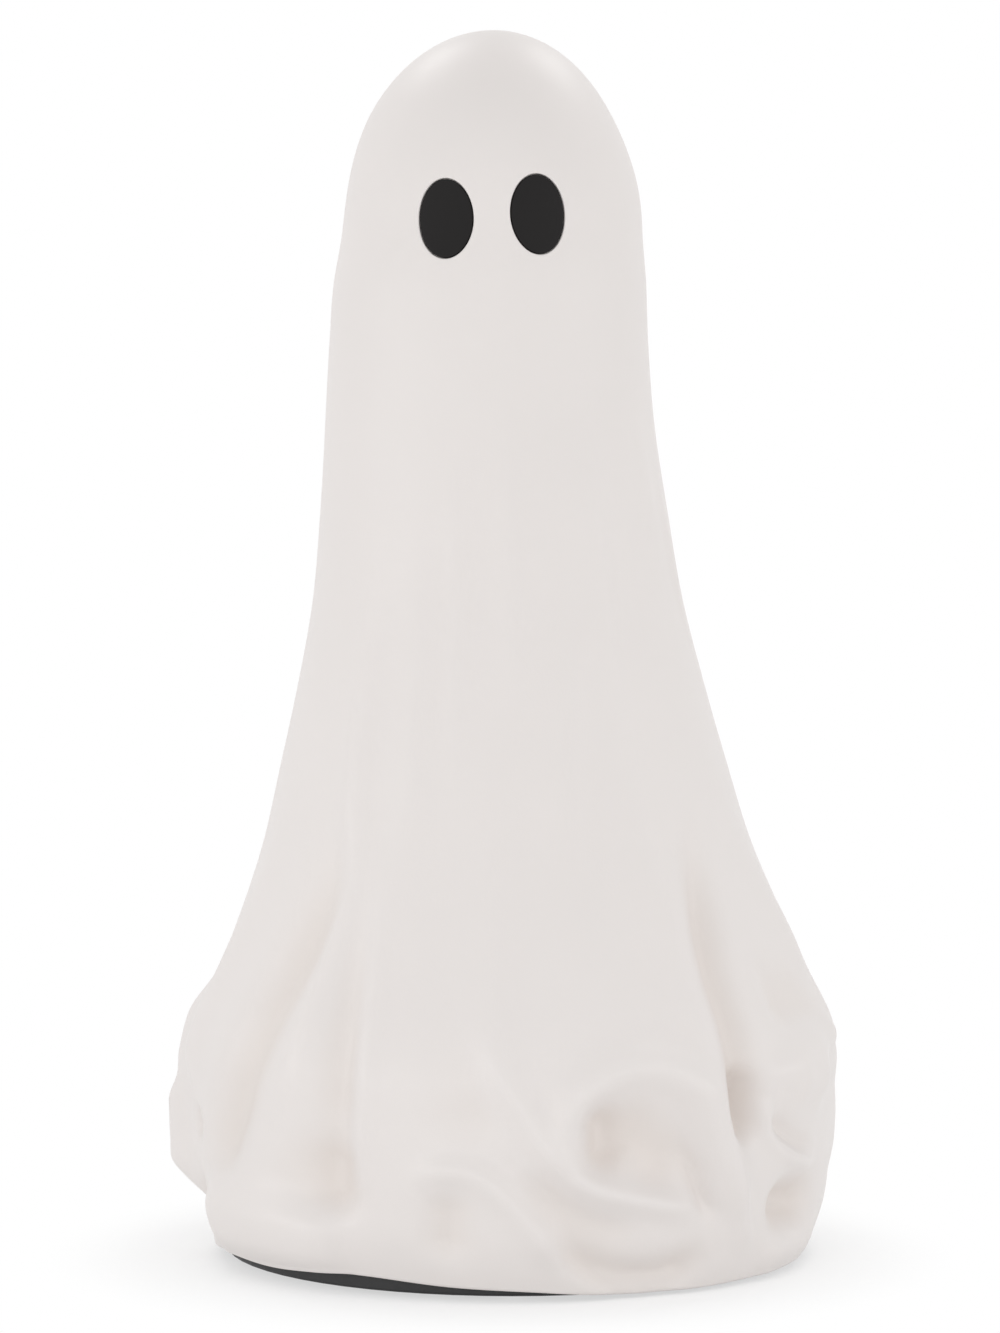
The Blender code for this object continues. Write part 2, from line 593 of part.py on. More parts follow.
def body_form(name, columns, rings, inset=0.0):
    """The body's surface as a closed solid: a turned blank whose points are moved onto the folds.

    An inset makes the smaller solid that hollows the body out, which passes inside every fold near it.
    """
    profile = [(0.0, BODY_HEIGHT - inset)]
    profile += [(float(plain_radius(np.array(z))), z) for z in rings]
    profile += [(0.0, profile[-1][1])]
    mesh = turned_mesh(name, profile, steps=columns)
    points = np.empty(len(mesh.vertices) * 3, np.float32)
    mesh.vertices.foreach_get("co", points)
    points = points.reshape(-1, 3).astype(float)
    on_axis = np.hypot(points[:, 0], points[:, 1]) < 1e-6
    turn = np.arctan2(points[:, 0], -points[:, 1])
    turn = np.degrees(turn - FRONT_CROWDING * np.sin(turn))
    height = points[:, 2].copy()
    radius = body_radius(turn, height)
    if inset:
        steps = (-INNER_REACH, 0, INNER_REACH)
        near = [body_radius(turn + a, height + z * MM) for a in steps for z in steps]
        radius = np.minimum.reduce(near) - inset
    else:
        blend = 1 - np.clip(height / HEM_BLEND_HEIGHT, 0.0, 1.0)
        height = height + hem_height(turn) * blend
    radius = np.where(on_axis, 0.0, radius)
    bearing = np.radians(turn)
    points[:, 0] = np.where(on_axis, 0.0, radius * np.sin(bearing)) + lean(points[:, 2])
    points[:, 1] = np.where(on_axis, 0.0, -radius * np.cos(bearing))
    points[:, 2] = height
    mesh.vertices.foreach_set("co", points.astype(np.float32).ravel())
    mesh.update()
    return mesh


def head_core(name, depth):
    """The head's band around the eyes, as a solid whose wall lies a depth under the surface."""
    half = EYE_HALF_HEIGHT + 8 * MM
    heights = np.linspace(EYE_HEIGHT + half, EYE_HEIGHT - half, 9)
    radii = plain_radius(heights) - depth
    profile = [(0.0, heights[0]), *zip(radii.tolist(), heights.tolist()), (0.0, heights[-1])]
    mesh = turned_mesh(name, profile, steps=48)
    for vertex in mesh.vertices:
        vertex.co.x += float(lean(vertex.co.z))
    return mesh


def eye_matrix(side):
    """Turns a shape made along +Z into one that points out of the head through an eye. Only the right eye's
    oval is tilted, its top away from the middle of the face."""
    bearing = math.radians(EYE_ANGLE * side)
    out = Matrix.Rotation(bearing, 4, "Z") @ Matrix.Rotation(math.pi / 2, 4, "X")
    height = EYE_HEIGHT + EYE_STAGGER * side
    lift = Matrix.Translation((float(lean(height)), 0.0, height))
    tilt = math.radians(EYE_TILT) if side < 0 else 0.0
    return lift @ out @ Matrix.Rotation(tilt, 4, "Z")


def eye_prism(name, grow, segments=24):
    """An oval bar from the head's middle out through the eye, wider than the eye by grow."""
    mesh = rod_mesh(name, 1.0, HEAD_RADIUS * 0.6, HEAD_RADIUS * 1.3, segments)
    mesh.transform(Matrix.Diagonal((EYE_HALF_WIDTH + grow, EYE_HALF_HEIGHT + grow, 1.0, 1.0)))
    return mesh


def eye_socket(name, side):
    """The recess for one eye insert: an oval bar, less the head under the recess's floor."""
    mesh = eye_prism(name, SEAT_GAP)
    mesh.transform(eye_matrix(side))
    cutter = add_object(name, mesh, collection=CUTTERS)
    boolean(cutter, head_core(name + "_floor", EYE_INSET + EYE_THICKNESS + SEAT_GAP))
    made = evaluated_mesh(cutter)
    made.name = name
    bpy.data.objects.remove(cutter)
    return made


def eye_peg(name, radius, outer, inner, side):
    """A round pin, or the hole for it, at the middle of an eye."""
    mesh = rod_mesh(name, radius, inner, outer, 14)
    mesh.transform(eye_matrix(side))
    return mesh


def build_body():
    form = body_form("ghost_body", BODY_COLUMNS, ring_heights(BODY_RINGS, 0.0))
    body = add_object("ghost_body", form, WHITE_PLASTIC)
    thinned = body.modifiers.new("fewer_faces", "DECIMATE")
    thinned.ratio = BODY_FACES / sum(len(face.vertices) - 2 for face in form.polygons)
    inner_rings = [z - BODY_WALL * (z > HEAD_HEIGHT) for z in ring_heights(INNER_RINGS, FLANGE_TOP)]
    boolean(body, body_form("hollow", INNER_COLUMNS, inner_rings, inset=BODY_WALL))
    boolean(body, rod_mesh("base_recess", RECESS_RADIUS, -5 * MM, FLANGE_BOTTOM, 64))
    opening = RECESS_RADIUS - FLANGE_WIDTH
    boolean(body, rod_mesh("opening", opening, FLANGE_BOTTOM - 2 * MM, FLANGE_TOP + 2 * MM, 32))
    for k, place in enumerate(around(BASE_SCREW_COUNT, BASE_SCREW_CIRCLE)):
        root = FLANGE_BOTTOM + FLANGE_THICKNESS / 2
        top = FLANGE_TOP + BODY_BOSS_HEIGHT
        boolean(body, rod_mesh(f"boss_{k}", BODY_BOSS_RADIUS, root, top, 12, place), "UNION")
        pilot = BASE_SCREW_SHANK + SEAT_GAP
        boolean(body, rod_mesh(f"pilot_{k}", pilot, 0.0, top - 2 * MM, 10, place))
    for side, label in ((-1, "right"), (1, "left")):
        boolean(body, eye_socket(f"{label}_socket", side))
        outer = HEAD_RADIUS + EYE_THICKNESS
        inner = HEAD_RADIUS - 4 * BODY_WALL
        boolean(body, eye_peg(f"{label}_peg_hole", EYE_PEG_RADIUS + SEAT_GAP, outer, inner, side))
    return shade(body, 30)


def build_eye(side, label):
    """A black oval that follows the head's curve, with a peg that goes through the wall."""
    mesh = eye_prism(f"{label}_eye", 0.0)
    mesh.transform(eye_matrix(side))
    eye = add_object(f"{label}_eye", mesh, BLACK_EYE)
    boolean(eye, head_core("face", EYE_INSET), "INTERSECT")
    boolean(eye, head_core("back", EYE_INSET + EYE_THICKNESS))
    peg_outer = HEAD_RADIUS - EYE_INSET - EYE_THICKNESS / 2
    peg_inner = peg_outer - EYE_PEG_LENGTH
    boolean(eye, eye_peg("peg", EYE_PEG_RADIUS, peg_outer, peg_inner, side), "UNION")
    return eye


def build_base():
    """The bottom plate with its rim, battery box, switch well, bosses and foot pockets."""
    inner = BASE_RADIUS - BASE_RIM_WALL
    cut = BASE_EDGE_ROUND
    profile = (
        (0.0, FLOOR_TOP),
        (inner, FLOOR_TOP),
        (inner, RIM_TOP),
        (BASE_RADIUS, RIM_TOP),
        (BASE_RADIUS, FLOOR_BOTTOM + cut),
        (BASE_RADIUS - cut * 0.3, FLOOR_BOTTOM + cut * 0.3),
        (BASE_RADIUS - cut, FLOOR_BOTTOM),
        (0.0, FLOOR_BOTTOM),
    )
    base = add_object("base", turned_mesh("base", profile, steps=64), BLACK_PLASTIC)
    half_l, half_w = BOX_LENGTH / 2, BOX_WIDTH / 2
    boolean(
        base, block_mesh("box", (-half_l, -half_w, FLOOR_BOTTOM + MM), (half_l, half_w, BOX_TOP)), "UNION"
    )
    root = FLOOR_BOTTOM + MM
    lug = DOOR_LUG_RADIUS + SEAT_GAP + BOX_WALL
    lug_roof = FLOOR_TOP + DOOR_LUG_ROOF
    boolean(base, rod_mesh("lug_roof", lug, root, lug_roof, 18, (0.0, DOOR_SCREW_Y)), "UNION")
    neck_x = lug - DOOR_NECK_STEP
    neck_roof = block_mesh("neck_roof", (-neck_x, 0.0, root), (neck_x, DOOR_SCREW_Y, lug_roof - 0.2 * MM))
    boolean(base, neck_roof, "UNION")
    boss_top = FLOOR_TOP + DOOR_SCREW_LENGTH
    boolean(base, rod_mesh("door_boss", DOOR_BOSS_RADIUS, root, boss_top, 12, (0.0, DOOR_SCREW_Y)), "UNION")
    well_x, well_y = WELL_WIDTH / 2 + WELL_WALL, SWITCH_SCREW_SPACING / 2 + WELL_END
    well = block_mesh("well", (SWITCH_X - well_x, -well_y, root), (SWITCH_X + well_x, well_y, WELL_TOP))
    boolean(base, well, "UNION")
    for k, side in enumerate((-1, 1)):
        x = side * POST_SCREW_SPACING / 2
        standoff = rod_mesh(
            f"standoff_{k}", POST_STANDOFF_RADIUS, BOX_TOP - MM, BOX_TOP + POST_STANDOFF, 12, (x, 0.0)
        )
        boolean(base, standoff, "UNION")
    for k, place in enumerate(around(BASE_SCREW_COUNT, BASE_SCREW_CIRCLE)):
        boolean(
            base, rod_mesh(f"boss_{k}", BASE_BOSS_RADIUS, FLOOR_BOTTOM + MM, RIM_TOP, 14, place), "UNION"
        )
    cut_base(base)
    return shade(base, 30)


def cut_base(base):
    """Every hole, pocket and recess in the base."""
    half_l, half_w = BOX_INNER_LENGTH / 2, BOX_INNER_WIDTH / 2
    below = FLOOR_BOTTOM - 3 * MM
    boolean(base, block_mesh("cell_bay", (-half_l, -half_w, below), (half_l, half_w, BOX_INNER_TOP)))
    door_l, door_w = half_l + DOOR_LEDGE, half_w + DOOR_LEDGE
    boolean(base, block_mesh("door_seat", (-door_l, -door_w, below), (door_l, door_w, FLOOR_TOP)))
    lug = DOOR_LUG_RADIUS + SEAT_GAP
    boolean(base, rod_mesh("lug_seat", lug, below, FLOOR_TOP, 18, (0.0, DOOR_SCREW_Y)))
    neck_x = lug - DOOR_NECK_STEP
    neck = block_mesh("neck_seat", (-neck_x, 0.0, below), (neck_x, DOOR_SCREW_Y, FLOOR_TOP))
    boolean(base, neck)
    hole_top = FLOOR_TOP + DOOR_SCREW_LENGTH - 1.5 * MM
    boolean(base, rod_mesh("door_screw_hole", DOOR_BOSS_HOLE, below, hole_top, 12, (0.0, DOOR_SCREW_Y)))
    swing = math.hypot(DOOR_TAB_REACH, DOOR_THICKNESS)
    for k, side in enumerate((-1, 1)):
        x = side * DOOR_TAB_OFFSET
        half = DOOR_TAB_WIDTH / 2 + SLIDING_GAP
        slot = block_mesh(
            f"tab_slot_{k}",
            (x - half, -half_w - DOOR_LEDGE - DOOR_TAB_REACH - SLIDING_GAP, DOOR_TOP - DOOR_TAB_THICKNESS),
            (x + half, -half_w + MM, DOOR_BOTTOM + swing + SLIDING_GAP),
        )
        boolean(base, slot)
    for end, y in (contact_place(0), contact_place(CELL_COUNT)):
        x = end * (BOX_INNER_LENGTH / 2 - SEAT_GAP - CONTACT_THICKNESS / 2)
        half_x = CONTACT_THICKNESS / 2 + SEAT_GAP
        half_y = CONTACT_TAB_WIDTH / 2 + SEAT_GAP
        slot = block_mesh(
            f"contact_slot_{'front' if y < 0 else 'rear'}",
            (x - half_x, y - half_y, BOX_INNER_TOP - MM),
            (x + half_x, y + half_y, BOX_TOP + MM),
        )
        boolean(base, slot)
    cut_switch_well(base)
    for k, side in enumerate((-1, 1)):
        x = side * POST_SCREW_SPACING / 2
        pilot = SMALL_SCREW_SHANK + SEAT_GAP
        boolean(
            base,
            rod_mesh(f"post_pilot_{k}", pilot, BOX_TOP + MM, BOX_TOP + POST_STANDOFF + MM, 10, (x, 0.0)),
        )
    for k, place in enumerate(around(BASE_SCREW_COUNT, BASE_SCREW_CIRCLE)):
        head = BASE_SCREW_HEAD + SLIDING_GAP
        depth = FLOOR_BOTTOM + BASE_SCREW_HEAD_HEIGHT + 2 * SEAT_GAP
        boolean(base, rod_mesh(f"head_{k}", head, below, depth, 12, place))
        boolean(base, rod_mesh(f"through_{k}", BASE_SCREW_SHANK + SEAT_GAP, below, RIM_TOP + MM, 10, place))
    for k, place in enumerate(around(FOOT_COUNT, FOOT_CIRCLE, 45)):
        pocket = rod_mesh(
            f"foot_{k}", FOOT_RADIUS + SEAT_GAP, below, FLOOR_BOTTOM + FOOT_POCKET_DEPTH, 18, place
        )
        boolean(base, pocket)


def cut_switch_well(base):
    """The well that the switch knob hangs in, its slot, and the pilot holes for the switch's screws."""
    below = FLOOR_BOTTOM - 3 * MM
    roof = FLOOR_BOTTOM + WELL_DEPTH
    well = block_mesh(
        "well_room",
        (SWITCH_X - WELL_WIDTH / 2, -WELL_LENGTH / 2, below),
        (SWITCH_X + WELL_WIDTH / 2, WELL_LENGTH / 2, roof),
    )
    boolean(base, well)
    half_x = KNOB_WIDTH / 2 + SLIDING_GAP
    half_y = KNOB_LENGTH / 2 + SWITCH_TRAVEL + SLIDING_GAP
    slot = block_mesh(
        "knob_slot",
        (SWITCH_X - half_x, -half_y, roof - MM),
        (SWITCH_X + half_x, half_y, WELL_TOP + MM),
    )
    boolean(base, slot)
    for k, side in enumerate((-1, 1)):
        y = side * SWITCH_SCREW_SPACING / 2
        bottom = WELL_TOP + SWITCH_EAR_THICKNESS - SMALL_SCREW_LENGTH
        pilot = SMALL_SCREW_SHANK + SEAT_GAP
        boolean(base, rod_mesh(f"ear_pilot_{k}", pilot, bottom, WELL_TOP + MM, 10, (SWITCH_X, y)))


def contact_place(number):
    """(end, y) of the contact before cell number: +1 is the +X end. The run starts and ends at a wire."""
    middle = (CELL_COUNT - 1) / 2
    end = 1 if number % 2 == 0 else -1
    if number == 0:
        return end, -middle * CELL_PITCH
    if number == CELL_COUNT:
        return end, middle * CELL_PITCH
    return end, (number - 0.5 - middle) * CELL_PITCH


def cell_end(number):
    """+1 where the cell's positive end points to +X."""
    return 1 if number % 2 == 0 else -1


def build_cells():
    body_end = CELL_LENGTH - CELL_NUB_LENGTH
    edge = 0.8 * MM
    profile = (
        (0.0, CELL_LENGTH),
        (CELL_NUB_RADIUS, CELL_LENGTH),
        (CELL_NUB_RADIUS, body_end),
        (CELL_RADIUS - edge, body_end),
        (CELL_RADIUS, body_end - edge),
        (CELL_RADIUS, edge),
        (CELL_RADIUS - edge, 0.0),
        (0.0, 0.0),
    )
    mesh = turned_mesh("cell", profile, steps=18)
    for number in range(CELL_COUNT):
        cell = add_object(f"battery_cell_{number + 1}", mesh, CELL_JACKET)
        end = cell_end(number)
        y = (number - (CELL_COUNT - 1) / 2) * CELL_PITCH
        nub = BOX_INNER_LENGTH / 2 - CONTACT_THICKNESS - 2 * SEAT_GAP
        cell.location = (end * (nub - CELL_LENGTH), y, CELL_AXIS)
        cell.rotation_euler = (0.0, end * math.pi / 2, 0.0)
        shade(cell)


def build_contacts():
    """Spring-steel plates at the ends of the cells. The first and last have a tab for a wire."""
    for number in range(CELL_COUNT + 1):
        end, y = contact_place(number)
        single = number in (0, CELL_COUNT)
        half_y = CONTACT_WIDTH / 2 if single else (CELL_PITCH + CONTACT_WIDTH) / 2
        outer = BOX_INNER_LENGTH / 2 - SEAT_GAP
        x = end * (outer - CONTACT_THICKNESS / 2)
        half_x = CONTACT_THICKNESS / 2
        half_z = CONTACT_HEIGHT / 2
        plate = add_object(
            f"contact_plate_{number + 1}",
            block_mesh(
                f"contact_plate_{number + 1}", (-half_x, -half_y, -half_z), (half_x, half_y, half_z)
            ),
            STEEL,
        )
        plate.location = (x, y, CELL_AXIS)
        if single:
            top = BOX_TOP + CONTACT_TAB_RISE - CELL_AXIS
            tab = block_mesh("tab", (-half_x, -CONTACT_TAB_WIDTH / 2, 0.0), (half_x, CONTACT_TAB_WIDTH / 2, top))
            boolean(plate, tab, "UNION", Matrix.Translation(plate.location))


def build_springs():
    """Cone-shaped springs that press on the cells' negative ends."""
    straight = 2 * SPRING_WIRE
    climb = SPRING_LENGTH - 2 * straight
    count = SPRING_TURNS * SPRING_POINTS
    path = []
    for k in range(count + 1):
        share = k / count
        turn = 2 * math.pi * SPRING_TURNS * share
        radius = SPRING_RADIUS + (SPRING_TIP_RADIUS - SPRING_RADIUS) * share
        height = straight + climb * share
        path.append(Vector((radius * math.cos(turn), radius * math.sin(turn), height)))
    gap = least_gap(path, SPRING_WIRE, SPRING_POINTS // 2)
    print(f"battery springs: least gap between turns {gap / MM:.2f} mm")
    first = path[0] - Vector((0.0, 0.0, straight))
    last = path[-1] + Vector((0.0, 0.0, straight))
    points = [first, *path, last]
    for number in range(CELL_COUNT):
        spring = tube(f"battery_spring_{number + 1}", points, SPRING_WIRE, STEEL, resolution=1)
        end = -cell_end(number)
        y = (number - (CELL_COUNT - 1) / 2) * CELL_PITCH
        plate_face = BOX_INNER_LENGTH / 2 - SEAT_GAP - CONTACT_THICKNESS
        spring.location = (end * (plate_face - SEAT_GAP), y, CELL_AXIS)
        spring.rotation_euler = (0.0, -end * math.pi / 2, 0.0)


def least_gap(path, radius, apart):
    """Least distance between two stretches of a wire that are at least some points apart."""
    points = np.array([tuple(p) for p in path])
    least = math.inf
    for k in range(len(points) - apart):
        distance = np.linalg.norm(points[k + apart :] - points[k], axis=1)
        least = min(least, float(distance.min()) - 2 * radius)
    return least


def tube(name, points, radius, material, resolution=2):
    """A wire along points: a poly curve with a round bevel and filled ends."""
    curve = bpy.data.curves.new(name, "CURVE")
    curve.dimensions = "3D"
    curve.bevel_depth = radius
    curve.bevel_resolution = resolution
    curve.use_fill_caps = True
    spline = curve.splines.new("POLY")
    spline.points.add(len(points) - 1)
    for target, point in zip(spline.points, points):
        target.co = (*point, 1.0)
    curve.materials.append(material)
    obj = bpy.data.objects.new(name, curve)
    PARTS.objects.link(obj)
    return obj


def smooth_route(route, spacing):
    """Points at an even spacing along a smooth curve through a route's own points."""
    ends = [2 * route[0] - route[1], *route, 2 * route[-1] - route[-2]]
    dense = []
    for a, b, c, d in zip(ends, ends[1:], ends[2:], ends[3:]):
        for k in range(16):
            t = k / 16
            dense.append(
                0.5 * (2 * b + (c - a) * t + (2 * a - 5 * b + 4 * c - d) * t**2 + (3 * b - a - 3 * c + d) * t**3)
            )
    dense.append(route[-1])
    reached = np.concatenate([[0.0], np.cumsum([(q - p).length for p, q in zip(dense, dense[1:])])])
    steps = max(2, round(reached[-1] / spacing))
    places = np.linspace(0.0, reached[-1], steps + 1)
    axes = [np.interp(places, reached, [p[i] for p in dense]) for i in range(3)]
    return [Vector(p) for p in zip(*axes)]


def build_wires():
    """Battery to switch, switch to lamp, and battery to lamp, up the bore of the post."""
    tab_x = BOX_INNER_LENGTH / 2 - SEAT_GAP - CONTACT_THICKNESS / 2
    tab_y = (CELL_COUNT - 1) / 2 * CELL_PITCH
    tab_z = BOX_TOP + CONTACT_TAB_RISE + SEAT_GAP
    terminal_z = WELL_TOP + SEAT_GAP + SWITCH_CAN_HEIGHT + SWITCH_BOARD_THICKNESS
    terminal_z += SWITCH_TERMINAL_RISE + 2 * SEAT_GAP
    terminal_y = SWITCH_TERMINAL_SPACING
    lift = 6 * WIRE_RADIUS
    under_post = POST_BOTTOM - POST_STANDOFF / 2
    board = BOARD_BOTTOM - SEAT_GAP
    inside = POST_BORE_RADIUS / 2
    spacing = 6 * WIRE_RADIUS
    supply_end = cell_end(CELL_COUNT - 1)
    routes = {
        "battery_wire_red": (
            RED_WIRE,
            (
                (tab_x, -tab_y, tab_z),
                (tab_x + lift, -tab_y, tab_z + lift),
                (BOX_LENGTH / 2 + 3 * MM, -tab_y, BOX_TOP - 2 * MM),
                (BOX_LENGTH / 2 + 8 * MM, -tab_y + 2 * MM, BOX_TOP - 9 * MM),
                (SWITCH_X - 8 * MM, -terminal_y - 2 * MM, terminal_z + lift / 2),
                (SWITCH_X, -terminal_y, terminal_z + lift),
                (SWITCH_X, -terminal_y, terminal_z),
            ),
        ),
        "switch_wire_red": (
            RED_WIRE,
            (
                (SWITCH_X, terminal_y, terminal_z),
                (SWITCH_X, terminal_y, terminal_z + lift),
                (SWITCH_X - 7 * MM, terminal_y + 2 * MM, terminal_z + lift),
                (BOX_LENGTH / 2 + 2 * MM, terminal_y + 3 * MM, BOX_TOP + 3 * MM),
                (BOX_LENGTH / 4, terminal_y + 4 * MM, BOX_TOP + 2 * MM),
                (2 * inside, inside, under_post - MM),
                (inside, 0.0, POST_BOTTOM + 4 * MM),
                (inside, 0.0, (POST_BOTTOM + board) / 2),
                (inside, 0.0, board - 4 * MM),
                (inside, 0.0, board),
            ),
        ),
        "battery_wire_black": (
            BLACK_WIRE,
            (
                (-supply_end * tab_x, tab_y, tab_z),
                (-supply_end * tab_x * 0.93, tab_y, tab_z + lift),
                (-supply_end * tab_x * 0.72, tab_y * 0.8, BOX_TOP + 2 * MM),
                (-supply_end * tab_x * 0.5, tab_y * 0.55, BOX_TOP + 2 * MM),
                (-2 * inside, inside, under_post - MM),
                (-inside, 0.0, POST_BOTTOM + 4 * MM),
                (-inside, 0.0, (POST_BOTTOM + board) / 2),
                (-inside, 0.0, board - 4 * MM),
                (-inside, 0.0, board),
            ),
        ),
    }
    for name, (material, route) in routes.items():
        tube(name, smooth_route([Vector(p) for p in route], spacing), WIRE_RADIUS, material)


def screw_mesh(name, head, head_height, shank, length, steps):
    """A pan-head screw whose head bears at height 0 with the shank above it."""
    point = min(1.5 * shank, length / 3)
    profile = (
        (0.0, length),
        (shank * 0.35, length),
        (shank, length - point),
        (shank, 0.0),
        (head, 0.0),
        (head, -head_height * 0.55),
        (head * 0.7, -head_height),
        (0.0, -head_height),
    )
    return turned_mesh(name, profile, steps=steps)


def place_screw(name, mesh, location, head_up=False):
    screw = add_object(name, mesh, STEEL)
    screw.location = location
    if head_up:
        screw.rotation_euler = (math.pi, 0.0, 0.0)
    return shade(screw)


def build_base_screws():
    seat = FLOOR_BOTTOM + BASE_SCREW_HEAD_HEIGHT + SEAT_GAP
    mesh = screw_mesh(
        "base_screw", BASE_SCREW_HEAD, BASE_SCREW_HEAD_HEIGHT, BASE_SCREW_SHANK, BASE_SCREW_LENGTH, 12
    )
    for k, (x, y) in enumerate(around(BASE_SCREW_COUNT, BASE_SCREW_CIRCLE)):
        place_screw(f"base_screw_{k + 1}", mesh, (x, y, seat))


def build_feet():
    top = FLOOR_BOTTOM + FOOT_POCKET_DEPTH - SEAT_GAP
    edge = 0.8 * MM
    profile = (
        (0.0, top),
        (FOOT_RADIUS, top),
        (FOOT_RADIUS, edge),
        (FOOT_RADIUS - edge, 0.0),
        (0.0, 0.0),
    )
    mesh = turned_mesh("foot", profile, steps=18)
    for k, (x, y) in enumerate(around(FOOT_COUNT, FOOT_CIRCLE, 45)):
        foot = add_object(f"foot_{k + 1}", mesh, FOOT_RUBBER)
        foot.location = (x, y, 0.0)
        shade(foot)


def build_door():
    """The battery door: tabs on one edge hook over the box's wall, a screw holds the lug on the other."""
    half_l, half_w = DOOR_LENGTH / 2, DOOR_WIDTH / 2
    pivot = door_pivot()
    door = add_object(
        "battery_door",
        block_mesh("battery_door", (-half_l, -half_w, DOOR_BOTTOM), (half_l, half_w, DOOR_TOP)),
        BLACK_PLASTIC,
    )
    door.data.transform(Matrix.Translation(-pivot))
    door.location = pivot
    lug = DOOR_LUG_RADIUS
    neck_x = lug - DOOR_NECK_STEP
    neck = block_mesh("neck", (-neck_x, half_w - 2 * MM, DOOR_BOTTOM), (neck_x, DOOR_SCREW_Y, DOOR_TOP))
    boolean(door, neck, "UNION")
    boolean(door, rod_mesh("lug", lug, DOOR_BOTTOM, DOOR_TOP, 18, (0.0, DOOR_SCREW_Y)), "UNION")
    for k, side in enumerate((-1, 1)):
        x = side * DOOR_TAB_OFFSET
        half = DOOR_TAB_WIDTH / 2
        tab = block_mesh(
            f"tab_{k}",
            (x - half, -half_w - DOOR_TAB_REACH, DOOR_TOP - DOOR_TAB_THICKNESS + SEAT_GAP),
            (x + half, -half_w + 2 * MM, DOOR_TOP),
        )
        boolean(door, tab, "UNION")
    through = rod_mesh(
        "hole", DOOR_SCREW_SHANK + SEAT_GAP, DOOR_BOTTOM - MM, DOOR_TOP + MM, 12, (0.0, DOOR_SCREW_Y)
    )
    boolean(door, through)
    depth = DOOR_BOTTOM + DOOR_SCREW_HEAD_HEIGHT + SEAT_GAP
    head = DOOR_SCREW_HEAD + SEAT_GAP
    boolean(door, rod_mesh("head_seat", head, DOOR_BOTTOM - MM, depth, 18, (0.0, DOOR_SCREW_Y)))
    for k in range(5):
        y = half_w - (4 + 2.4 * k) * MM
        groove = block_mesh(
            f"grip_{k}",
            (-9 * MM, y - 0.5 * MM, DOOR_BOTTOM - MM),
            (9 * MM, y + 0.5 * MM, DOOR_BOTTOM + DOOR_GRIP_DEPTH),
        )
        boolean(door, groove)
    screw = screw_mesh(
        "door_screw", DOOR_SCREW_HEAD, DOOR_SCREW_HEAD_HEIGHT, DOOR_SCREW_SHANK, DOOR_SCREW_LENGTH, 12
    )
    seat = DOOR_BOTTOM + DOOR_SCREW_HEAD_HEIGHT
    place_screw("battery_door_screw", screw, (0.0, DOOR_SCREW_Y, seat))
    return door


def door_pivot():
    """The door turns about the lower corner of its tabbed edge."""
    return Vector((0.0, -DOOR_WIDTH / 2, DOOR_BOTTOM))


def build_switch():
    """A slide switch: a steel can with ears, a brown board with terminals, and the knob."""
    bottom = WELL_TOP + SEAT_GAP
    half_x, half_y = SWITCH_CAN_WIDTH / 2, SWITCH_CAN_LENGTH / 2
    can = add_object(
        "switch_can",
        block_mesh("switch_can", (-half_x, -half_y, 0.0), (half_x, half_y, SWITCH_CAN_HEIGHT)),
        STEEL,
    )
    can.location = (SWITCH_X, 0.0, bottom)
    place = Matrix.Translation(can.location)
    half_ear = SWITCH_EAR_LENGTH / 2
    ears = block_mesh("ears", (-half_x, -half_ear, 0.0), (half_x, half_ear, SWITCH_EAR_THICKNESS))
    boolean(can, ears, "UNION", place)
    wall = SWITCH_CAN_WALL
    room = block_mesh(
        "room",
        (-half_x + wall, -half_y + wall, wall),
        (half_x - wall, half_y - wall, SWITCH_CAN_HEIGHT + MM),
    )
    boolean(can, room, "DIFFERENCE", place)
    slot_x = KNOB_WIDTH / 2 + SEAT_GAP
    slot_y = KNOB_LENGTH / 2 + SWITCH_TRAVEL + SEAT_GAP
    boolean(can, block_mesh("slot", (-slot_x, -slot_y, -MM), (slot_x, slot_y, 2 * wall)), "DIFFERENCE", place)
    for k, side in enumerate((-1, 1)):
        y = side * SWITCH_SCREW_SPACING / 2
        hole = rod_mesh(f"hole_{k}", SMALL_SCREW_SHANK + SEAT_GAP, -MM, 2 * MM, 10, (0.0, y))
        boolean(can, hole, "DIFFERENCE", place)
    board_z = bottom + SWITCH_CAN_HEIGHT + SEAT_GAP
    board = add_object(
        "switch_board",
        block_mesh("switch_board", (-half_x, -half_y, 0.0), (half_x, half_y, SWITCH_BOARD_THICKNESS)),
        BOARD_BROWN,
    )
    board.location = (SWITCH_X, 0.0, board_z)
    for k in (-1, 0, 1):
        y = k * SWITCH_TERMINAL_SPACING
        terminal = block_mesh(
            f"terminal_{k + 1}",
            (-1.0 * MM, y - 0.4 * MM, SWITCH_BOARD_THICKNESS / 2),
            (1.0 * MM, y + 0.4 * MM, SWITCH_BOARD_THICKNESS + SWITCH_TERMINAL_RISE),
        )
        boolean(board, terminal, "UNION", Matrix.Translation(board.location))
    build_knob(bottom + wall + SEAT_GAP)
    small = screw_mesh(
        "switch_screw", SMALL_SCREW_HEAD, SMALL_SCREW_HEAD_HEIGHT, SMALL_SCREW_SHANK, SMALL_SCREW_LENGTH, 10
    )
    for k, side in enumerate((-1, 1)):
        y = side * SWITCH_SCREW_SPACING / 2
        seat = bottom + SWITCH_EAR_THICKNESS + SEAT_GAP
        place_screw(f"switch_screw_{k + 1}", small, (SWITCH_X, y, seat), head_up=True)


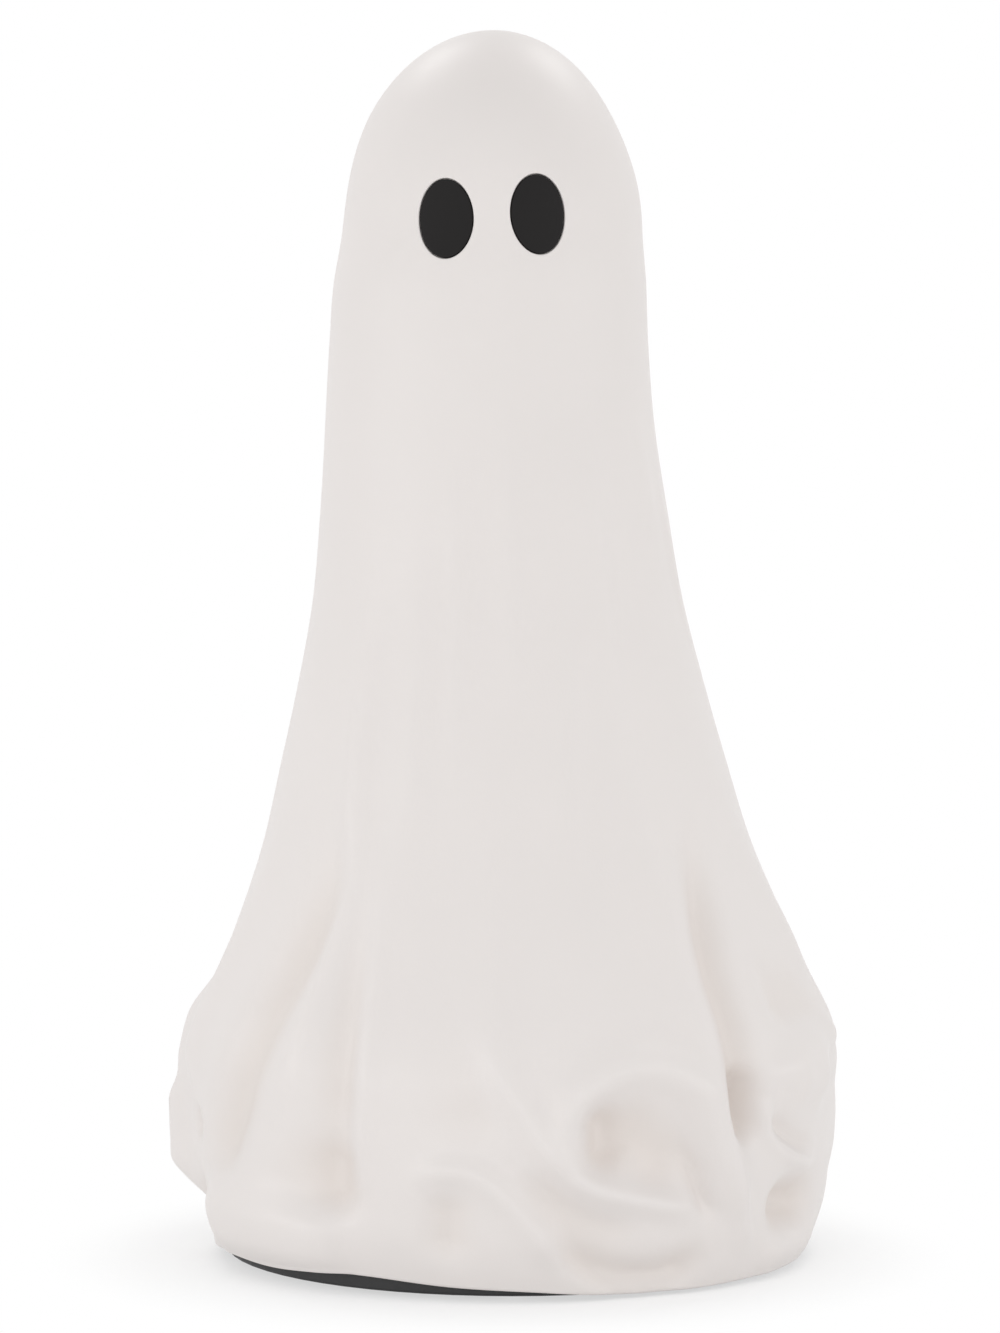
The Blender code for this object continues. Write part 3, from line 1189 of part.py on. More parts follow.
def build_knob(plate_bottom):
    """The knob: a plate that slides in the can, and a ribbed finger that hangs into the well."""
    half_x, half_y = KNOB_WIDTH / 2, KNOB_LENGTH / 2
    tip = FLOOR_BOTTOM + WELL_DEPTH - KNOB_REACH
    knob = add_object(
        "switch_knob",
        block_mesh("switch_knob", (-half_x, -half_y, tip), (half_x, half_y, plate_bottom + MM), 0.4 * MM),
        BLACK_PLASTIC,
    )
    knob.location = (SWITCH_X, 0.0, 0.0)
    inner_x = SWITCH_CAN_WIDTH / 2 - SWITCH_CAN_WALL - SEAT_GAP
    plate = block_mesh(
        "plate",
        (-inner_x, -half_y - MM, plate_bottom),
        (inner_x, half_y + MM, plate_bottom + 2.4 * MM),
    )
    boolean(knob, plate, "UNION", Matrix.Translation(knob.location))
    for k in (-1, 0, 1):
        y = k * KNOB_LENGTH * 0.28
        groove = block_mesh(
            f"groove_{k + 1}", (-half_x - MM, y - 0.3 * MM, tip - MM), (half_x + MM, y + 0.3 * MM, tip + 0.5 * MM)
        )
        boolean(knob, groove, "DIFFERENCE", Matrix.Translation(knob.location))


def build_post():
    """The hollow post that carries the lamp: a foot flange, a tube for the wires, and a platform."""
    flange_top = POST_BOTTOM + POST_FLANGE_THICKNESS
    lip_top = PLATFORM_BOTTOM + PLATFORM_LIP_THICKNESS
    lip = PLATFORM_RADIUS + PLATFORM_LIP
    profile = (
        (POST_BORE_RADIUS, PLATFORM_TOP),
        (PLATFORM_RADIUS, PLATFORM_TOP),
        (PLATFORM_RADIUS, lip_top),
        (lip, lip_top),
        (lip, PLATFORM_BOTTOM),
        (POST_TUBE_RADIUS + 3 * MM, PLATFORM_BOTTOM),
        (POST_TUBE_RADIUS, PLATFORM_BOTTOM - 3 * MM),
        (POST_TUBE_RADIUS, flange_top + 2 * MM),
        (POST_TUBE_RADIUS + 2 * MM, flange_top),
        (POST_FLANGE_RADIUS, flange_top),
        (POST_FLANGE_RADIUS, POST_BOTTOM),
        (POST_BORE_RADIUS, POST_BOTTOM),
    )
    post = add_object("lamp_post", turned_mesh("lamp_post", profile, steps=24, closed=True), LAMP_PLASTIC)
    for k, side in enumerate((-1, 1)):
        x = side * BOARD_SCREW_SPACING / 2
        top = PLATFORM_TOP + BOARD_STANDOFF
        standoff = rod_mesh(f"standoff_{k}", BOARD_STANDOFF_RADIUS, PLATFORM_TOP - MM, top, 12, (x, 0.0))
        boolean(post, standoff, "UNION")
        pilot = SMALL_SCREW_SHANK + SEAT_GAP
        bottom = BOARD_TOP - SMALL_SCREW_LENGTH
        boolean(post, rod_mesh(f"pilot_{k}", pilot, bottom, top + MM, 10, (x, 0.0)))
        foot_x = side * POST_SCREW_SPACING / 2
        boolean(post, rod_mesh(f"foot_hole_{k}", pilot, POST_BOTTOM - MM, flange_top + MM, 10, (foot_x, 0.0)))
    shade(post)
    small = screw_mesh(
        "small_screw", SMALL_SCREW_HEAD, SMALL_SCREW_HEAD_HEIGHT, SMALL_SCREW_SHANK, SMALL_SCREW_LENGTH, 10
    )
    for k, side in enumerate((-1, 1)):
        foot_x = side * POST_SCREW_SPACING / 2
        place_screw(f"post_screw_{k + 1}", small, (foot_x, 0.0, flange_top + SEAT_GAP), head_up=True)
        x = side * BOARD_SCREW_SPACING / 2
        place_screw(f"board_screw_{k + 1}", small, (x, 0.0, BOARD_TOP + SEAT_GAP), head_up=True)


def build_lamp():
    """The round circuit board with its diodes and resistor, under a frosted cap."""
    board = add_object(
        "lamp_board", rod_mesh("lamp_board", BOARD_RADIUS, BOARD_BOTTOM, BOARD_TOP, 32), BOARD_GREEN
    )
    for k, side in enumerate((-1, 1)):
        x = side * BOARD_SCREW_SPACING / 2
        hole = rod_mesh(
            f"hole_{k}", SMALL_SCREW_SHANK + SEAT_GAP, BOARD_BOTTOM - MM, BOARD_TOP + MM, 10, (x, 0.0)
        )
        boolean(board, hole)
    shoulder = LED_HEIGHT - LED_RADIUS
    dome = [
        (LED_RADIUS * math.sin(math.pi / 6 * k), shoulder + LED_RADIUS * math.cos(math.pi / 6 * k))
        for k in range(3)
    ]
    profile = (
        *dome,
        (LED_RADIUS, shoulder),
        (LED_RADIUS, 1.0 * MM),
        (LED_RADIUS + LED_FLANGE, 1.0 * MM),
        (LED_RADIUS + LED_FLANGE, 0.0),
        (0.0, 0.0),
    )
    mesh = turned_mesh("led", profile, steps=12)
    for k, (x, y) in enumerate(around(LED_COUNT, LED_CIRCLE)):
        led = add_object(f"led_{k + 1}", mesh, LED_RESIN)
        led.location = (x, y, BOARD_TOP + SEAT_GAP)
        shade(led)
    resistor = add_object(
        "led_resistor",
        rod_mesh("led_resistor", RESISTOR_RADIUS, -RESISTOR_LENGTH / 2, RESISTOR_LENGTH / 2, 12),
        RESISTOR_BODY,
    )
    resistor.location = (0.0, 0.0, BOARD_TOP + SEAT_GAP + RESISTOR_RADIUS)
    resistor.rotation_euler = (0.0, math.pi / 2, 0.0)
    build_cap()


def build_cap():
    """The frosted cap that spreads the light, seated on the platform's lip."""
    inner = PLATFORM_RADIUS + SEAT_GAP
    outer = inner + CAP_WALL
    bottom = PLATFORM_BOTTOM + PLATFORM_LIP_THICKNESS + SEAT_GAP
    spring_line = bottom + CAP_HEIGHT - outer
    steps = 4
    angles = [math.pi / 2 * k / steps for k in range(steps + 1)]
    outside = [(outer * math.sin(a), spring_line + outer * math.cos(a)) for a in angles]
    inside = [(inner * math.sin(a), spring_line + inner * math.cos(a)) for a in reversed(angles)]
    profile = (*outside, (outer, bottom), (inner, bottom), *inside)
    cap = add_object("lamp_cap", turned_mesh("lamp_cap", profile, steps=24), CAP_PLASTIC)
    return shade(cap)


def move_to_middle():
    """Put the middle of the ghost's box over the origin, now that every piece stands about the base's."""
    for obj in (*PARTS.objects, *CUTTERS.objects):
        obj.location.x += BASE_X


def main():
    build_body()
    build_eye(-1, "right")
    build_eye(1, "left")
    build_base()
    build_base_screws()
    build_feet()
    build_door()
    build_cells()
    build_contacts()
    build_springs()
    build_switch()
    build_post()
    build_lamp()
    build_wires()
    move_to_middle()


main()
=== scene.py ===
"""A battery-lit ghost table decoration: the moulded white figure that looks like a draped sheet, its two
black oval eyes, and the black base with what it carries. Units are metres, +Z is up and the ghost faces -Y.
"""

import math

import bmesh
import bpy
import numpy as np
from bpy.props import FloatProperty, FloatVectorProperty, IntProperty, PointerProperty
from mathutils import Matrix, Vector


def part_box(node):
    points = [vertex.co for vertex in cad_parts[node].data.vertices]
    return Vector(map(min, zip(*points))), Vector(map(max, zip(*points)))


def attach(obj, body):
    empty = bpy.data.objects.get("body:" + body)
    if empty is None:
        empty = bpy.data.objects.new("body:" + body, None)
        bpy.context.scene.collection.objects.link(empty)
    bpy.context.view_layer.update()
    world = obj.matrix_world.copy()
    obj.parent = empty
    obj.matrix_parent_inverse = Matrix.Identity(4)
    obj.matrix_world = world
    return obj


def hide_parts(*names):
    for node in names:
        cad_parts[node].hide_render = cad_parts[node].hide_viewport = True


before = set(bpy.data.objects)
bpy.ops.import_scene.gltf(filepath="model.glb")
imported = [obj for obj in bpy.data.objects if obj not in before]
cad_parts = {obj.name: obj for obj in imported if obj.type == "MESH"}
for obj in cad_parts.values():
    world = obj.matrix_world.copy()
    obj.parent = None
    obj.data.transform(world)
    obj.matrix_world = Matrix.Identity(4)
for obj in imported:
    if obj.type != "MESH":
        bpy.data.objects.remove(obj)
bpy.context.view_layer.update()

bl_info = {
    "name": "Ghost figure",
    "version": (1, 0, 0),
    "blender": (4, 5, 0),
    "location": "3D View > Sidebar > Ghost",
    "description": "Builds a lit ghost table decoration, its base and its studio",
    "category": "Object",
}

MM = 0.001
BODY_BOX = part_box("ghost_body")
BASE_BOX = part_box("base")

# Eyes
EYE_BOXES = {"right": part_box("right_eye"), "left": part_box("left_eye")}
EYE_SEGMENTS = 96
EYE_ROUND_STEPS = 6
EYE_BEARING = math.radians(17.3)
EYE_TILT = math.radians(5.7)
EYE_GAP = 0.3 * MM
EYE_INSET = 0.25 * MM
EYE_EDGE = 0.45 * MM
EYE_BACK_EDGE = 0.2 * MM
EYE_THICKNESS = 1.4 * MM
EYE_PEG_RADIUS = 2.4 * MM
EYE_PEG_LENGTH = 5.0 * MM
EYE_PEG_EDGE = 0.4 * MM
SOCKET_MARGIN = 1.0 * MM

# Screws, and the bosses that they go into. A cross recess's length is a share of the head's radius, and its
# width and its length at the bottom are shares of that length.
BOSS_RADIUS = 4.4 * MM
BOSS_TOP = 29 * MM
BOSS_INSET = 6.5 * MM
BOSS_OVERLAP = 1.0 * MM
PILOT_RADIUS = 1.8 * MM
PILOT_TOP = BOSS_TOP - 2 * MM
PILOT_SEGMENTS = 16
TURNED_SEGMENTS = 48
TURNED_SHARP = 30
BASE_SCREW_HEAD_HEIGHT = 2.1 * MM
BASE_SCREW_SHANK = 1.5 * MM
BASE_CROSS_DEPTH = 1.3 * MM
DOOR_SCREW_HEAD_HEIGHT = 1.0 * MM
DOOR_SCREW_SHANK = 1.1 * MM
DOOR_CROSS_DEPTH = 0.7 * MM
CROSS_SHARE = 1.15
CROSS_WIDTH = 0.24
CROSS_BOTTOM = 0.45
CROSS_TURN = 20

# Cells and springs. The pale ring and band lie between shares of a cell's length from its negative end, and
# the flat coil at each end of a spring takes a share of its wire.
CELL_NUB = 1.2 * MM
CELL_NUB_RADIUS = 2.7 * MM
CELL_SEGMENTS = 64
CELL_RING = (0.755, 0.777)
CELL_BAND = (0.80, 0.932)
SLEEVE_THICKNESS = 0.3 * MM
SLEEVE_LIP = 1.0 * MM
SPRING_WIRE = 0.4 * MM
SPRING_FOOT_RADIUS = 3.8 * MM
SPRING_TIP_RADIUS = 2.7 * MM
SPRING_TUCK = 0.35 * MM
SPRING_TURNS = 5
SPRING_STEPS = 28
SPRING_FLAT = 0.16

# Studio. The floor is partly white up to the first reach from the middle, so that a shadow shows, and wholly
# from the second. Each light has a name, a place, a point that it faces, a size and a power.
FLOOR_RADIUS = 3.0
WORLD_STRENGTH = 0.7
SHADOW_REACH = (0.10, 0.16)
SHADOW_WHITE = 0.6
LIGHTS = (
    ("over_left", (-0.474, 0.499, 1.372), (0.0, 0.0, 0.38), (0.45, 0.45), 2.0),
    ("over_right", (0.54, 0.48, 1.34), (0.0, 0.0, 0.38), (0.45, 0.45), 2.0),
    ("side_left", (-1.178, -0.549, 0.25), (0.0, 0.0, 0.12), (0.9, 0.5), 2.4),
    ("side_right", (1.178, -0.549, 0.25), (0.0, 0.0, 0.12), (0.9, 0.5), 1.9),
    ("low", (0.0, -1.3, 0.06), (0.0, 0.0, 0.10), (2.0, 0.12), 2.1),
    ("high", (0.0, -1.1, 1.1), (0.0, 0.0, 0.10), (1.6, 0.3), 0.7),
)

# Body
BODY_HEIGHT = BODY_BOX[1].z
DOME_RISE = 70 * MM
HEAD_HEIGHT = BODY_HEIGHT - DOME_RISE
HEAD_RADIUS = 51.9 * MM
HEAD_TAPER = 0.5 * MM
HEAD_TAPER_TO = 1.06
HEM_ROUND = 1.2 * MM
BASE_X = (BASE_BOX[0].x + BASE_BOX[1].x) / 2
BASE_RADIUS = (BASE_BOX[1].y - BASE_BOX[0].y) / 2
RECESS_RADIUS = BASE_RADIUS + 0.5 * MM
BODY_MIN_RADIUS = RECESS_RADIUS + 2.0 * MM
FLANGE_BOTTOM = 12.0 * MM
FLANGE_TOP = 15.0 * MM
FLANGE_WIDTH = 15 * MM

# The body's mesh: its rings from the crown down, how much closer its columns stand at the front, and how far
# round each point, in degrees and in mm, the inside keeps clear of the folds
FRONT_CROWDING = 0.45
DOME_RINGS = 40
FLANK_RINGS = 84
SKIRT_RINGS = 104
SKIRT_TOP = 110 * MM
HEM_ROUND_STEPS = 4
INNER_REACH = 6
INNER_RINGS = 24
INNER_DOME_RINGS = 8
BODY_SHARP = 50
RECESS_TOP = FLANGE_TOP + 2.6 * MM

# A valley gets its full painted shade, darker and warmer, at this depth. A fold is felt out to some widths
# from its path, and has grown by a share of its fade where its path starts.
HOLLOW_DEPTH = 6 * MM
FOLD_REACH = 3.2
FOLD_END = 0.23

# How far the skirt stands out over the base, before the folds are laid on it, at shares of the way up to
# the head
SKIRT = (
    (0.0, 4.0 * MM),
    (0.025, 7.0 * MM),
    (0.045, 9.0 * MM),
    (0.08, 10.5 * MM),
    (0.12, 11.6 * MM),
    (0.16, 12.2 * MM),
    (0.20, 12.8 * MM),
    (0.24, 9.2 * MM),
    (0.28, 2.8 * MM),
)

# Radius of the flare over the skirt, the same way
FLARE = (
    (0.32, 95.0 * MM),
    (0.40, 84.3 * MM),
    (0.48, 76.8 * MM),
    (0.56, 69.8 * MM),
    (0.64, 63.8 * MM),
    (0.72, 60.2 * MM),
    (0.80, 57.2 * MM),
    (0.90, 54.9 * MM),
    (0.95, 54.0 * MM),
)

# How far the figure's middle lies from the base's, at shares of the way up to the head
LEAN = (
    (0.0, 0.0),
    (0.32, 0.0),
    (0.42, -1.8 * MM),
    (0.60, -4.2 * MM),
    (0.72, -6.0 * MM),
    (0.83, -7.7 * MM),
    (0.93, -7.7 * MM),
    (1.03, -6.4 * MM),
    (1.12, -7.2 * MM),
    (1.20, -6.4 * MM),
)

# Hem: height of the sheet's lower edge above the table, at angles from the front towards the ghost's left
HEM_LOW = 1.4 * MM
HEM_WAVE = (
    (-150, 1.2 * MM),
    (-112, 3.6 * MM),
    (-88, 1.4 * MM),
    (-64, 4.6 * MM),
    (-48, 4.2 * MM),
    (-31, 5.4 * MM),
    (-10, 3.2 * MM),
    (4, 2.0 * MM),
    (18, 0.2 * MM),
    (38, 0.0 * MM),
    (60, 0.8 * MM),
    (100, 3.4 * MM),
    (132, 0.6 * MM),
    (170, 3.8 * MM),
)
HEM_BLEND_HEIGHT = 42 * MM

# Folds of the sheet, each (height of the fold, half width on the left and on the right of its path, fade in,
# fade out, path), all in mm. A ridge stands proud and a valley is negative. The path is (degrees from the
# front, height), left and right are as seen by someone who walks along it, and the fades are the lengths over
# which the fold grows and dies away. A fold without fades has round ends.
FOLDS = (
    # Front, at the ghost's right: a ridge, two valleys that end in pockets, and the ridges beside them
    (2.6, 6.5, 6.5, 110, 30, ((-40, 244), (-40, 177), (-37, 136), (-38, 100), (-40, 74), (-44, 50))),
    (
        -5.4, 9.0, 10.0, 50, 20,
        ((-35, 152), (-39, 134), (-44, 112), (-48, 94), (-51, 76), (-56, 57), (-61, 43), (-65, 30)),
    ),
    (-4.4, 6.5, 8.5, 60, 20, ((-32, 125), (-31, 103), (-30, 85), (-30, 66), (-31, 46))),
    (-6.0, 9.0, 9.0, 0, 0, ((-32, 42), (-32, 33))),
    (-2.6, 12.0, 12.0, 0, 0, ((-38, 38), (-39, 33))),
    (2.0, 5.0, 6.0, 60, 24, ((-26, 151), (-27, 113), (-26, 82), (-26, 58), (-26, 32))),
    (1.0, 6.0, 6.0, 60, 60, ((-24, 242), (-23, 190), (-22, 148), (-20, 100))),
    # Front, middle: a ridge that sweeps under the swirl, a small arch, and the hollows round both
    (2.2, 7.5, 7.0, 130, 40, ((-4, 180), (-4, 130), (-4, 92), (-2, 74), (2, 60))),
    (4.2, 4.8, 5.0, 45, 14, ((-3, 86), (-2, 74), (2, 59), (6, 47), (12, 38), (18, 34), (25, 31), (33, 27))),
    (-3.0, 5.0, 8.0, 14, 14, ((2, 44), (7, 32), (14, 24), (22, 21))),
    (-2.4, 7.0, 12.0, 40, 12, ((-8, 84), (-7, 66), (-7, 50))),
    (3.0, 4.5, 5.5, 14, 12, ((-17, 36), (-14, 41), (-10, 43), (-6, 41), (-2, 35), (2, 26), (6, 16), (8, 8))),
    (-3.6, 7.0, 7.0, 0, 0, ((-11, 27), (-11, 19))),
    (-4.6, 7.0, 5.0, 18, 14, ((7, 24), (11, 13), (17, 7), (24, 5), (30, 7), (36, 14))),
    # Swirl: a rolled rim over two pockets, and a crease beside them
    (
        6.4, 7.2, 7.2, 18, 24,
        (
            (10, 42), (9, 53), (10, 64), (14, 72), (20, 76), (26, 74), (31, 67), (34, 56), (37, 45), (40, 34),
            (43, 22),
        ),
    ),
    (-5.6, 10.5, 10.5, 0, 0, ((20, 53), (25, 46))),
    (-6.4, 6.5, 6.5, 0, 0, ((14, 56), (15, 49))),
    (-3.4, 2.6, 4.0, 12, 10, ((29, 50), (32, 41), (34, 32), (37, 23))),
    # Front, at the ghost's left: a ridge, a deep valley, a lobe with a crease under it, and a hem pocket
    (2.4, 6.0, 8.0, 60, 20, ((31, 172), (32, 142), (33, 112), (33, 94), (34, 79), (35, 64), (37, 50))),
    (
        -6.0, 6.0, 6.5, 34, 20,
        ((47, 145), (44, 122), (42, 108), (41.5, 96), (41.5, 84), (41.5, 73), (42, 64), (43, 56), (46, 48)),
    ),
    (-6.0, 4.8, 4.8, 0, 0, ((42.5, 66), (42.5, 54))),
    (2.4, 3.4, 3.4, 10, 12, ((47, 62), (48, 53), (51, 46), (57, 40), (64, 36))),
    (3.0, 6.0, 6.0, 8, 12, ((77, 79), (66, 77), (56, 74), (50, 69), (48, 61))),
    (5.4, 9.5, 9.5, 0, 0, ((57, 65), (63, 65))),
    (-3.4, 12.0, 6.0, 10, 10, ((52, 88), (60, 89), (68, 89), (80, 89))),
    (-3.4, 4.2, 4.2, 8, 8, ((49, 56), (52, 50), (57, 45), (64, 41))),
    (-8.0, 8.5, 8.5, 0, 0, ((56, 24), (62, 23))),
    (2.6, 7.0, 7.0, 8, 8, ((72, 9), (60, 8), (50, 6))),
    (1.6, 8.0, 8.0, 0, 0, ((54, 40), (61, 39))),
    (2.2, 3.4, 4.0, 10, 14, ((39, 38), (41, 29), (43, 20), (46, 10))),
    # Roll along the hem
    (4.2, 9.0, 9.0, 14, 12, ((-71, 20), (-62, 21), (-50, 21), (-40, 20), (-30, 16))),
    (4.4, 9.0, 9.0, 14, 12, ((-71, 8), (-62, 8), (-50, 8), (-40, 7), (-30, 5))),
    # Faint folds higher up
    (1.2, 6.0, 6.0, 30, 30, ((22, 222), (15, 170), (12, 126))),
    (1.8, 5.0, 12.0, 60, 60, ((34, 289), (33, 236), (32, 203), (31, 172))),
    (0.9, 4.0, 4.0, 30, 30, ((-12, 270), (-12, 216), (-12, 158))),
    (0.9, 4.5, 4.5, 30, 30, ((5, 290), (4, 240), (4, 190))),
    (1.0, 5.0, 5.0, 30, 30, ((62, 284), (61, 237))),
    (1.2, 4.0, 4.0, 30, 30, ((72, 268), (77, 206))),
    # The ghost's right side, seen at the left edge of a front view
    (3.4, 11.0, 11.0, 60, 20, ((-66, 150), (-72, 105), (-77, 72), (-80, 56))),
    (9.0, 10.0, 10.0, 0, 0, ((-91, 50), (-90, 40), (-89, 32))),
    (-4.0, 4.5, 4.5, 5, 5, ((-74, 52), (-77, 42))),
    (-5.0, 7.0, 7.0, 8, 8, ((-72, 24), (-84, 13), (-96, 13))),
    (4.5, 11.0, 11.0, 0, 0, ((-92, 80), (-91, 68))),
    # The ghost's left side
    (3.2, 10.0, 10.0, 60, 20, ((68, 160), (73, 112), (77, 84), (80, 72))),
    (1.2, 9.0, 9.0, 14, 12, ((86, 60), (87, 44), (84, 28))),
    (-3.6, 6.0, 6.0, 60, 14, ((98, 150), (100, 100), (99, 60), (94, 34))),
    # Back
    (3.6, 9.0, 9.0, 90, 22, ((112, 220), (114, 150), (113, 95), (110, 48), (108, 24))),
    (-4.6, 7.5, 7.5, 60, 10, ((126, 150), (128, 100), (130, 60), (134, 34))),
    (3.8, 9.5, 9.5, 90, 20, ((140, 230), (142, 150), (144, 96), (148, 56), (150, 30))),
    (-3.8, 7.0, 7.0, 60, 12, ((156, 150), (158, 100), (161, 58))),
    (3.6, 9.0, 9.0, 90, 22, ((170, 240), (171, 160), (174, 100), (172, 52), (168, 22))),
    (3.2, 5.0, 5.0, 8, 8, ((156, 34), (163, 44), (172, 45), (180, 34), (186, 18))),
    (-4.4, 7.5, 7.5, 60, 12, ((188, 150), (190, 100), (193, 62), (198, 38))),
    (3.8, 9.5, 9.5, 90, 20, ((204, 235), (206, 150), (208, 96), (208, 52), (212, 28))),
    (-4.0, 7.0, 7.0, 60, 12, ((221, 150), (222, 100), (224, 58), (230, 34))),
    (3.6, 9.0, 9.0, 90, 22, ((237, 225), (238, 150), (239, 95), (243, 52), (246, 26))),
    (-4.0, 6.5, 6.5, 60, 12, ((254, 150), (254, 100), (256, 62), (258, 40))),
)


def smooth_table(table, values, period=None):
    """Read a table of (place, value) stations along a smooth curve through them."""
    places = np.array([p for p, _ in table], float)
    heights = np.array([v for _, v in table], float)
    if period:
        places = np.concatenate([places[-2:] - period, places, places[:2] + period])
        heights = np.concatenate([heights[-2:], heights, heights[:2]])
        values = (np.asarray(values) - places[2]) % period + places[2]
    slopes = np.gradient(heights, places)
    left = np.clip(np.searchsorted(places, values, side="right") - 1, 0, len(places) - 2)
    span = places[left + 1] - places[left]
    t = np.clip((values - places[left]) / span, 0.0, 1.0)
    start, end = heights[left], heights[left + 1]
    return (
        (2 * t**3 - 3 * t**2 + 1) * start
        + (t**3 - 2 * t**2 + t) * span * slopes[left]
        + (3 * t**2 - 2 * t**3) * end
        + (t**3 - t**2) * span * slopes[left + 1]
    )


def smoothstep(values):
    t = np.clip(values, 0.0, 1.0)
    return t * t * (3 - 2 * t)


def plain_radius(height):
    """Radius of the body at a height, before the folds: a flare below the head, and a dome above."""
    skirt = [(share * HEAD_HEIGHT, BASE_RADIUS + reach) for share, reach in SKIRT]
    flare = [(share * HEAD_HEIGHT, radius) for share, radius in FLARE]
    crown = HEAD_RADIUS - HEAD_TAPER
    head = [(HEAD_HEIGHT, HEAD_RADIUS), (HEAD_TAPER_TO * HEAD_HEIGHT, crown), (BODY_HEIGHT, crown)]
    flank = smooth_table([*skirt, *flare, *head], height)
    rise = np.clip((height - HEAD_HEIGHT) / DOME_RISE, 0.0, 1.0)
    return flank * np.sqrt(1 - rise**2)


def middle_x(height):
    """Where the figure's middle lies at a height."""
    return BASE_X + smooth_table([(share * HEAD_HEIGHT, x) for share, x in LEAN], height)


def smooth_path(path, steps=4):
    """A fold's path with points added along a smooth curve: angles, heights and the length reached."""
    turns = np.array([a for a, _ in path], float)
    heights = np.array([h for _, h in path], float) * MM
    places = np.arange(len(path))
    dense = np.linspace(0, len(path) - 1, (len(path) - 1) * steps + 1)
    turns = smooth_table(list(zip(places, turns)), dense)
    heights = smooth_table(list(zip(places, heights)), dense)
    radii = plain_radius(heights)
    lengths = np.hypot(np.radians(np.diff(turns)) * (radii[1:] + radii[:-1]) / 2, np.diff(heights))
    return turns, heights, np.concatenate([[0.0], np.cumsum(lengths)])


def fade(along, length):
    """How far a fold has grown at a distance from its end."""
    return smoothstep(FOLD_END + (1 - FOLD_END) * along / length) if length else 1.0


def fold_relief(angle, height, radius):
    """How far the folds push the surface out, at angles in degrees and heights in metres."""
    relief = np.zeros_like(angle)
    for rise, left_width, right_width, fade_in, fade_out, path in FOLDS:
        turns, heights, reached = smooth_path(path)
        middle = (turns.min() + turns.max()) / 2
        turn = (angle - middle + 180) % 360 + middle - 180
        reach = FOLD_REACH * max(left_width, right_width) * MM
        beside = np.radians(np.abs(turn - middle) - (turns.max() - turns.min()) / 2) * radius < reach
        near = beside & (height > heights.min() - reach) & (height < heights.max() + reach)
        if near.any():
            path_points = (turns, heights, reached)
            distance, along, side = nearest_on_path(turn[near], height[near], radius[near], *path_points)
            width = (right_width + (left_width - right_width) * (1 + side) / 2) * MM
            ends = fade(along, fade_in * MM) * fade(reached[-1] - along, fade_out * MM)
            relief[near] += rise * MM * np.exp(-((distance / width) ** 2)) * ends
    return relief


def nearest_on_path(turn, height, radius, turns, heights, reached):
    """Each point's distance to a path, how far along it the nearest place is, and which side it is on."""
    nearest = np.full_like(turn, np.inf)
    along = np.zeros_like(turn)
    side = np.zeros_like(turn)
    for k, length in enumerate(np.diff(reached)):
        across = np.radians(turn - turns[k]) * radius
        up = height - heights[k]
        run = np.radians(turns[k + 1] - turns[k]) * radius
        climb = heights[k + 1] - heights[k]
        t = np.clip((across * run + up * climb) / (run**2 + climb**2), 0.0, 1.0)
        distance = np.hypot(across - t * run, up - t * climb)
        closer = distance < nearest
        nearest = np.where(closer, distance, nearest)
        along = np.where(closer, reached[k] + t * length, along)
        turned = (run * (up - t * climb) - climb * (across - t * run)) / np.hypot(run, climb)
        side = np.where(closer, turned / np.maximum(distance, 1e-6), side)
    return nearest, along, side


def body_radius(angle, height):
    """Radius of the finished surface. Low down it stays clear of the recess that the base fits in."""
    angle, height = np.broadcast_arrays(np.asarray(angle, float), np.asarray(height, float))
    plain = plain_radius(height)
    radius = plain + fold_relief(angle, height, plain)
    floor = np.where(height < RECESS_TOP, BODY_MIN_RADIUS, 0.0)
    return np.maximum(radius, floor)


def hem_height(angle):
    return HEM_LOW + smooth_table(HEM_WAVE, angle, period=360)


def length_property(name, description, default):
    return FloatProperty(name=name, description=description, default=default, min=0.1 * MM, unit="LENGTH")


def colour_property(name, description, default):
    return FloatVectorProperty(
        name=name, description=description, default=default, size=3, subtype="COLOR", min=0.0, max=1.0
    )


class GhostSizes(bpy.types.PropertyGroup):
    """Sizes that someone may change before the ghost is built."""

    wall: length_property("Wall", "Thickness of the moulded body", 2.6 * MM)
    columns: IntProperty(name="Columns", description="Columns of faces round the body", default=320, min=48)
    eye_width: length_property("Eye width", "Width of an eye insert", 18.4 * MM)
    eye_height: length_property("Eye height", "Height of an eye insert", 26.6 * MM)
    eye_rim: length_property("Eye rim", "Rounding of the edge round an eye", 0.6 * MM)
    camera_distance: length_property("Camera distance", "From the lens to the figure's middle", 1.14)
    camera_height: length_property("Camera height", "Height of the lens over the table", 200.7 * MM)
    lens: FloatProperty(name="Lens", description="Focal length in mm", default=89.06, min=20)


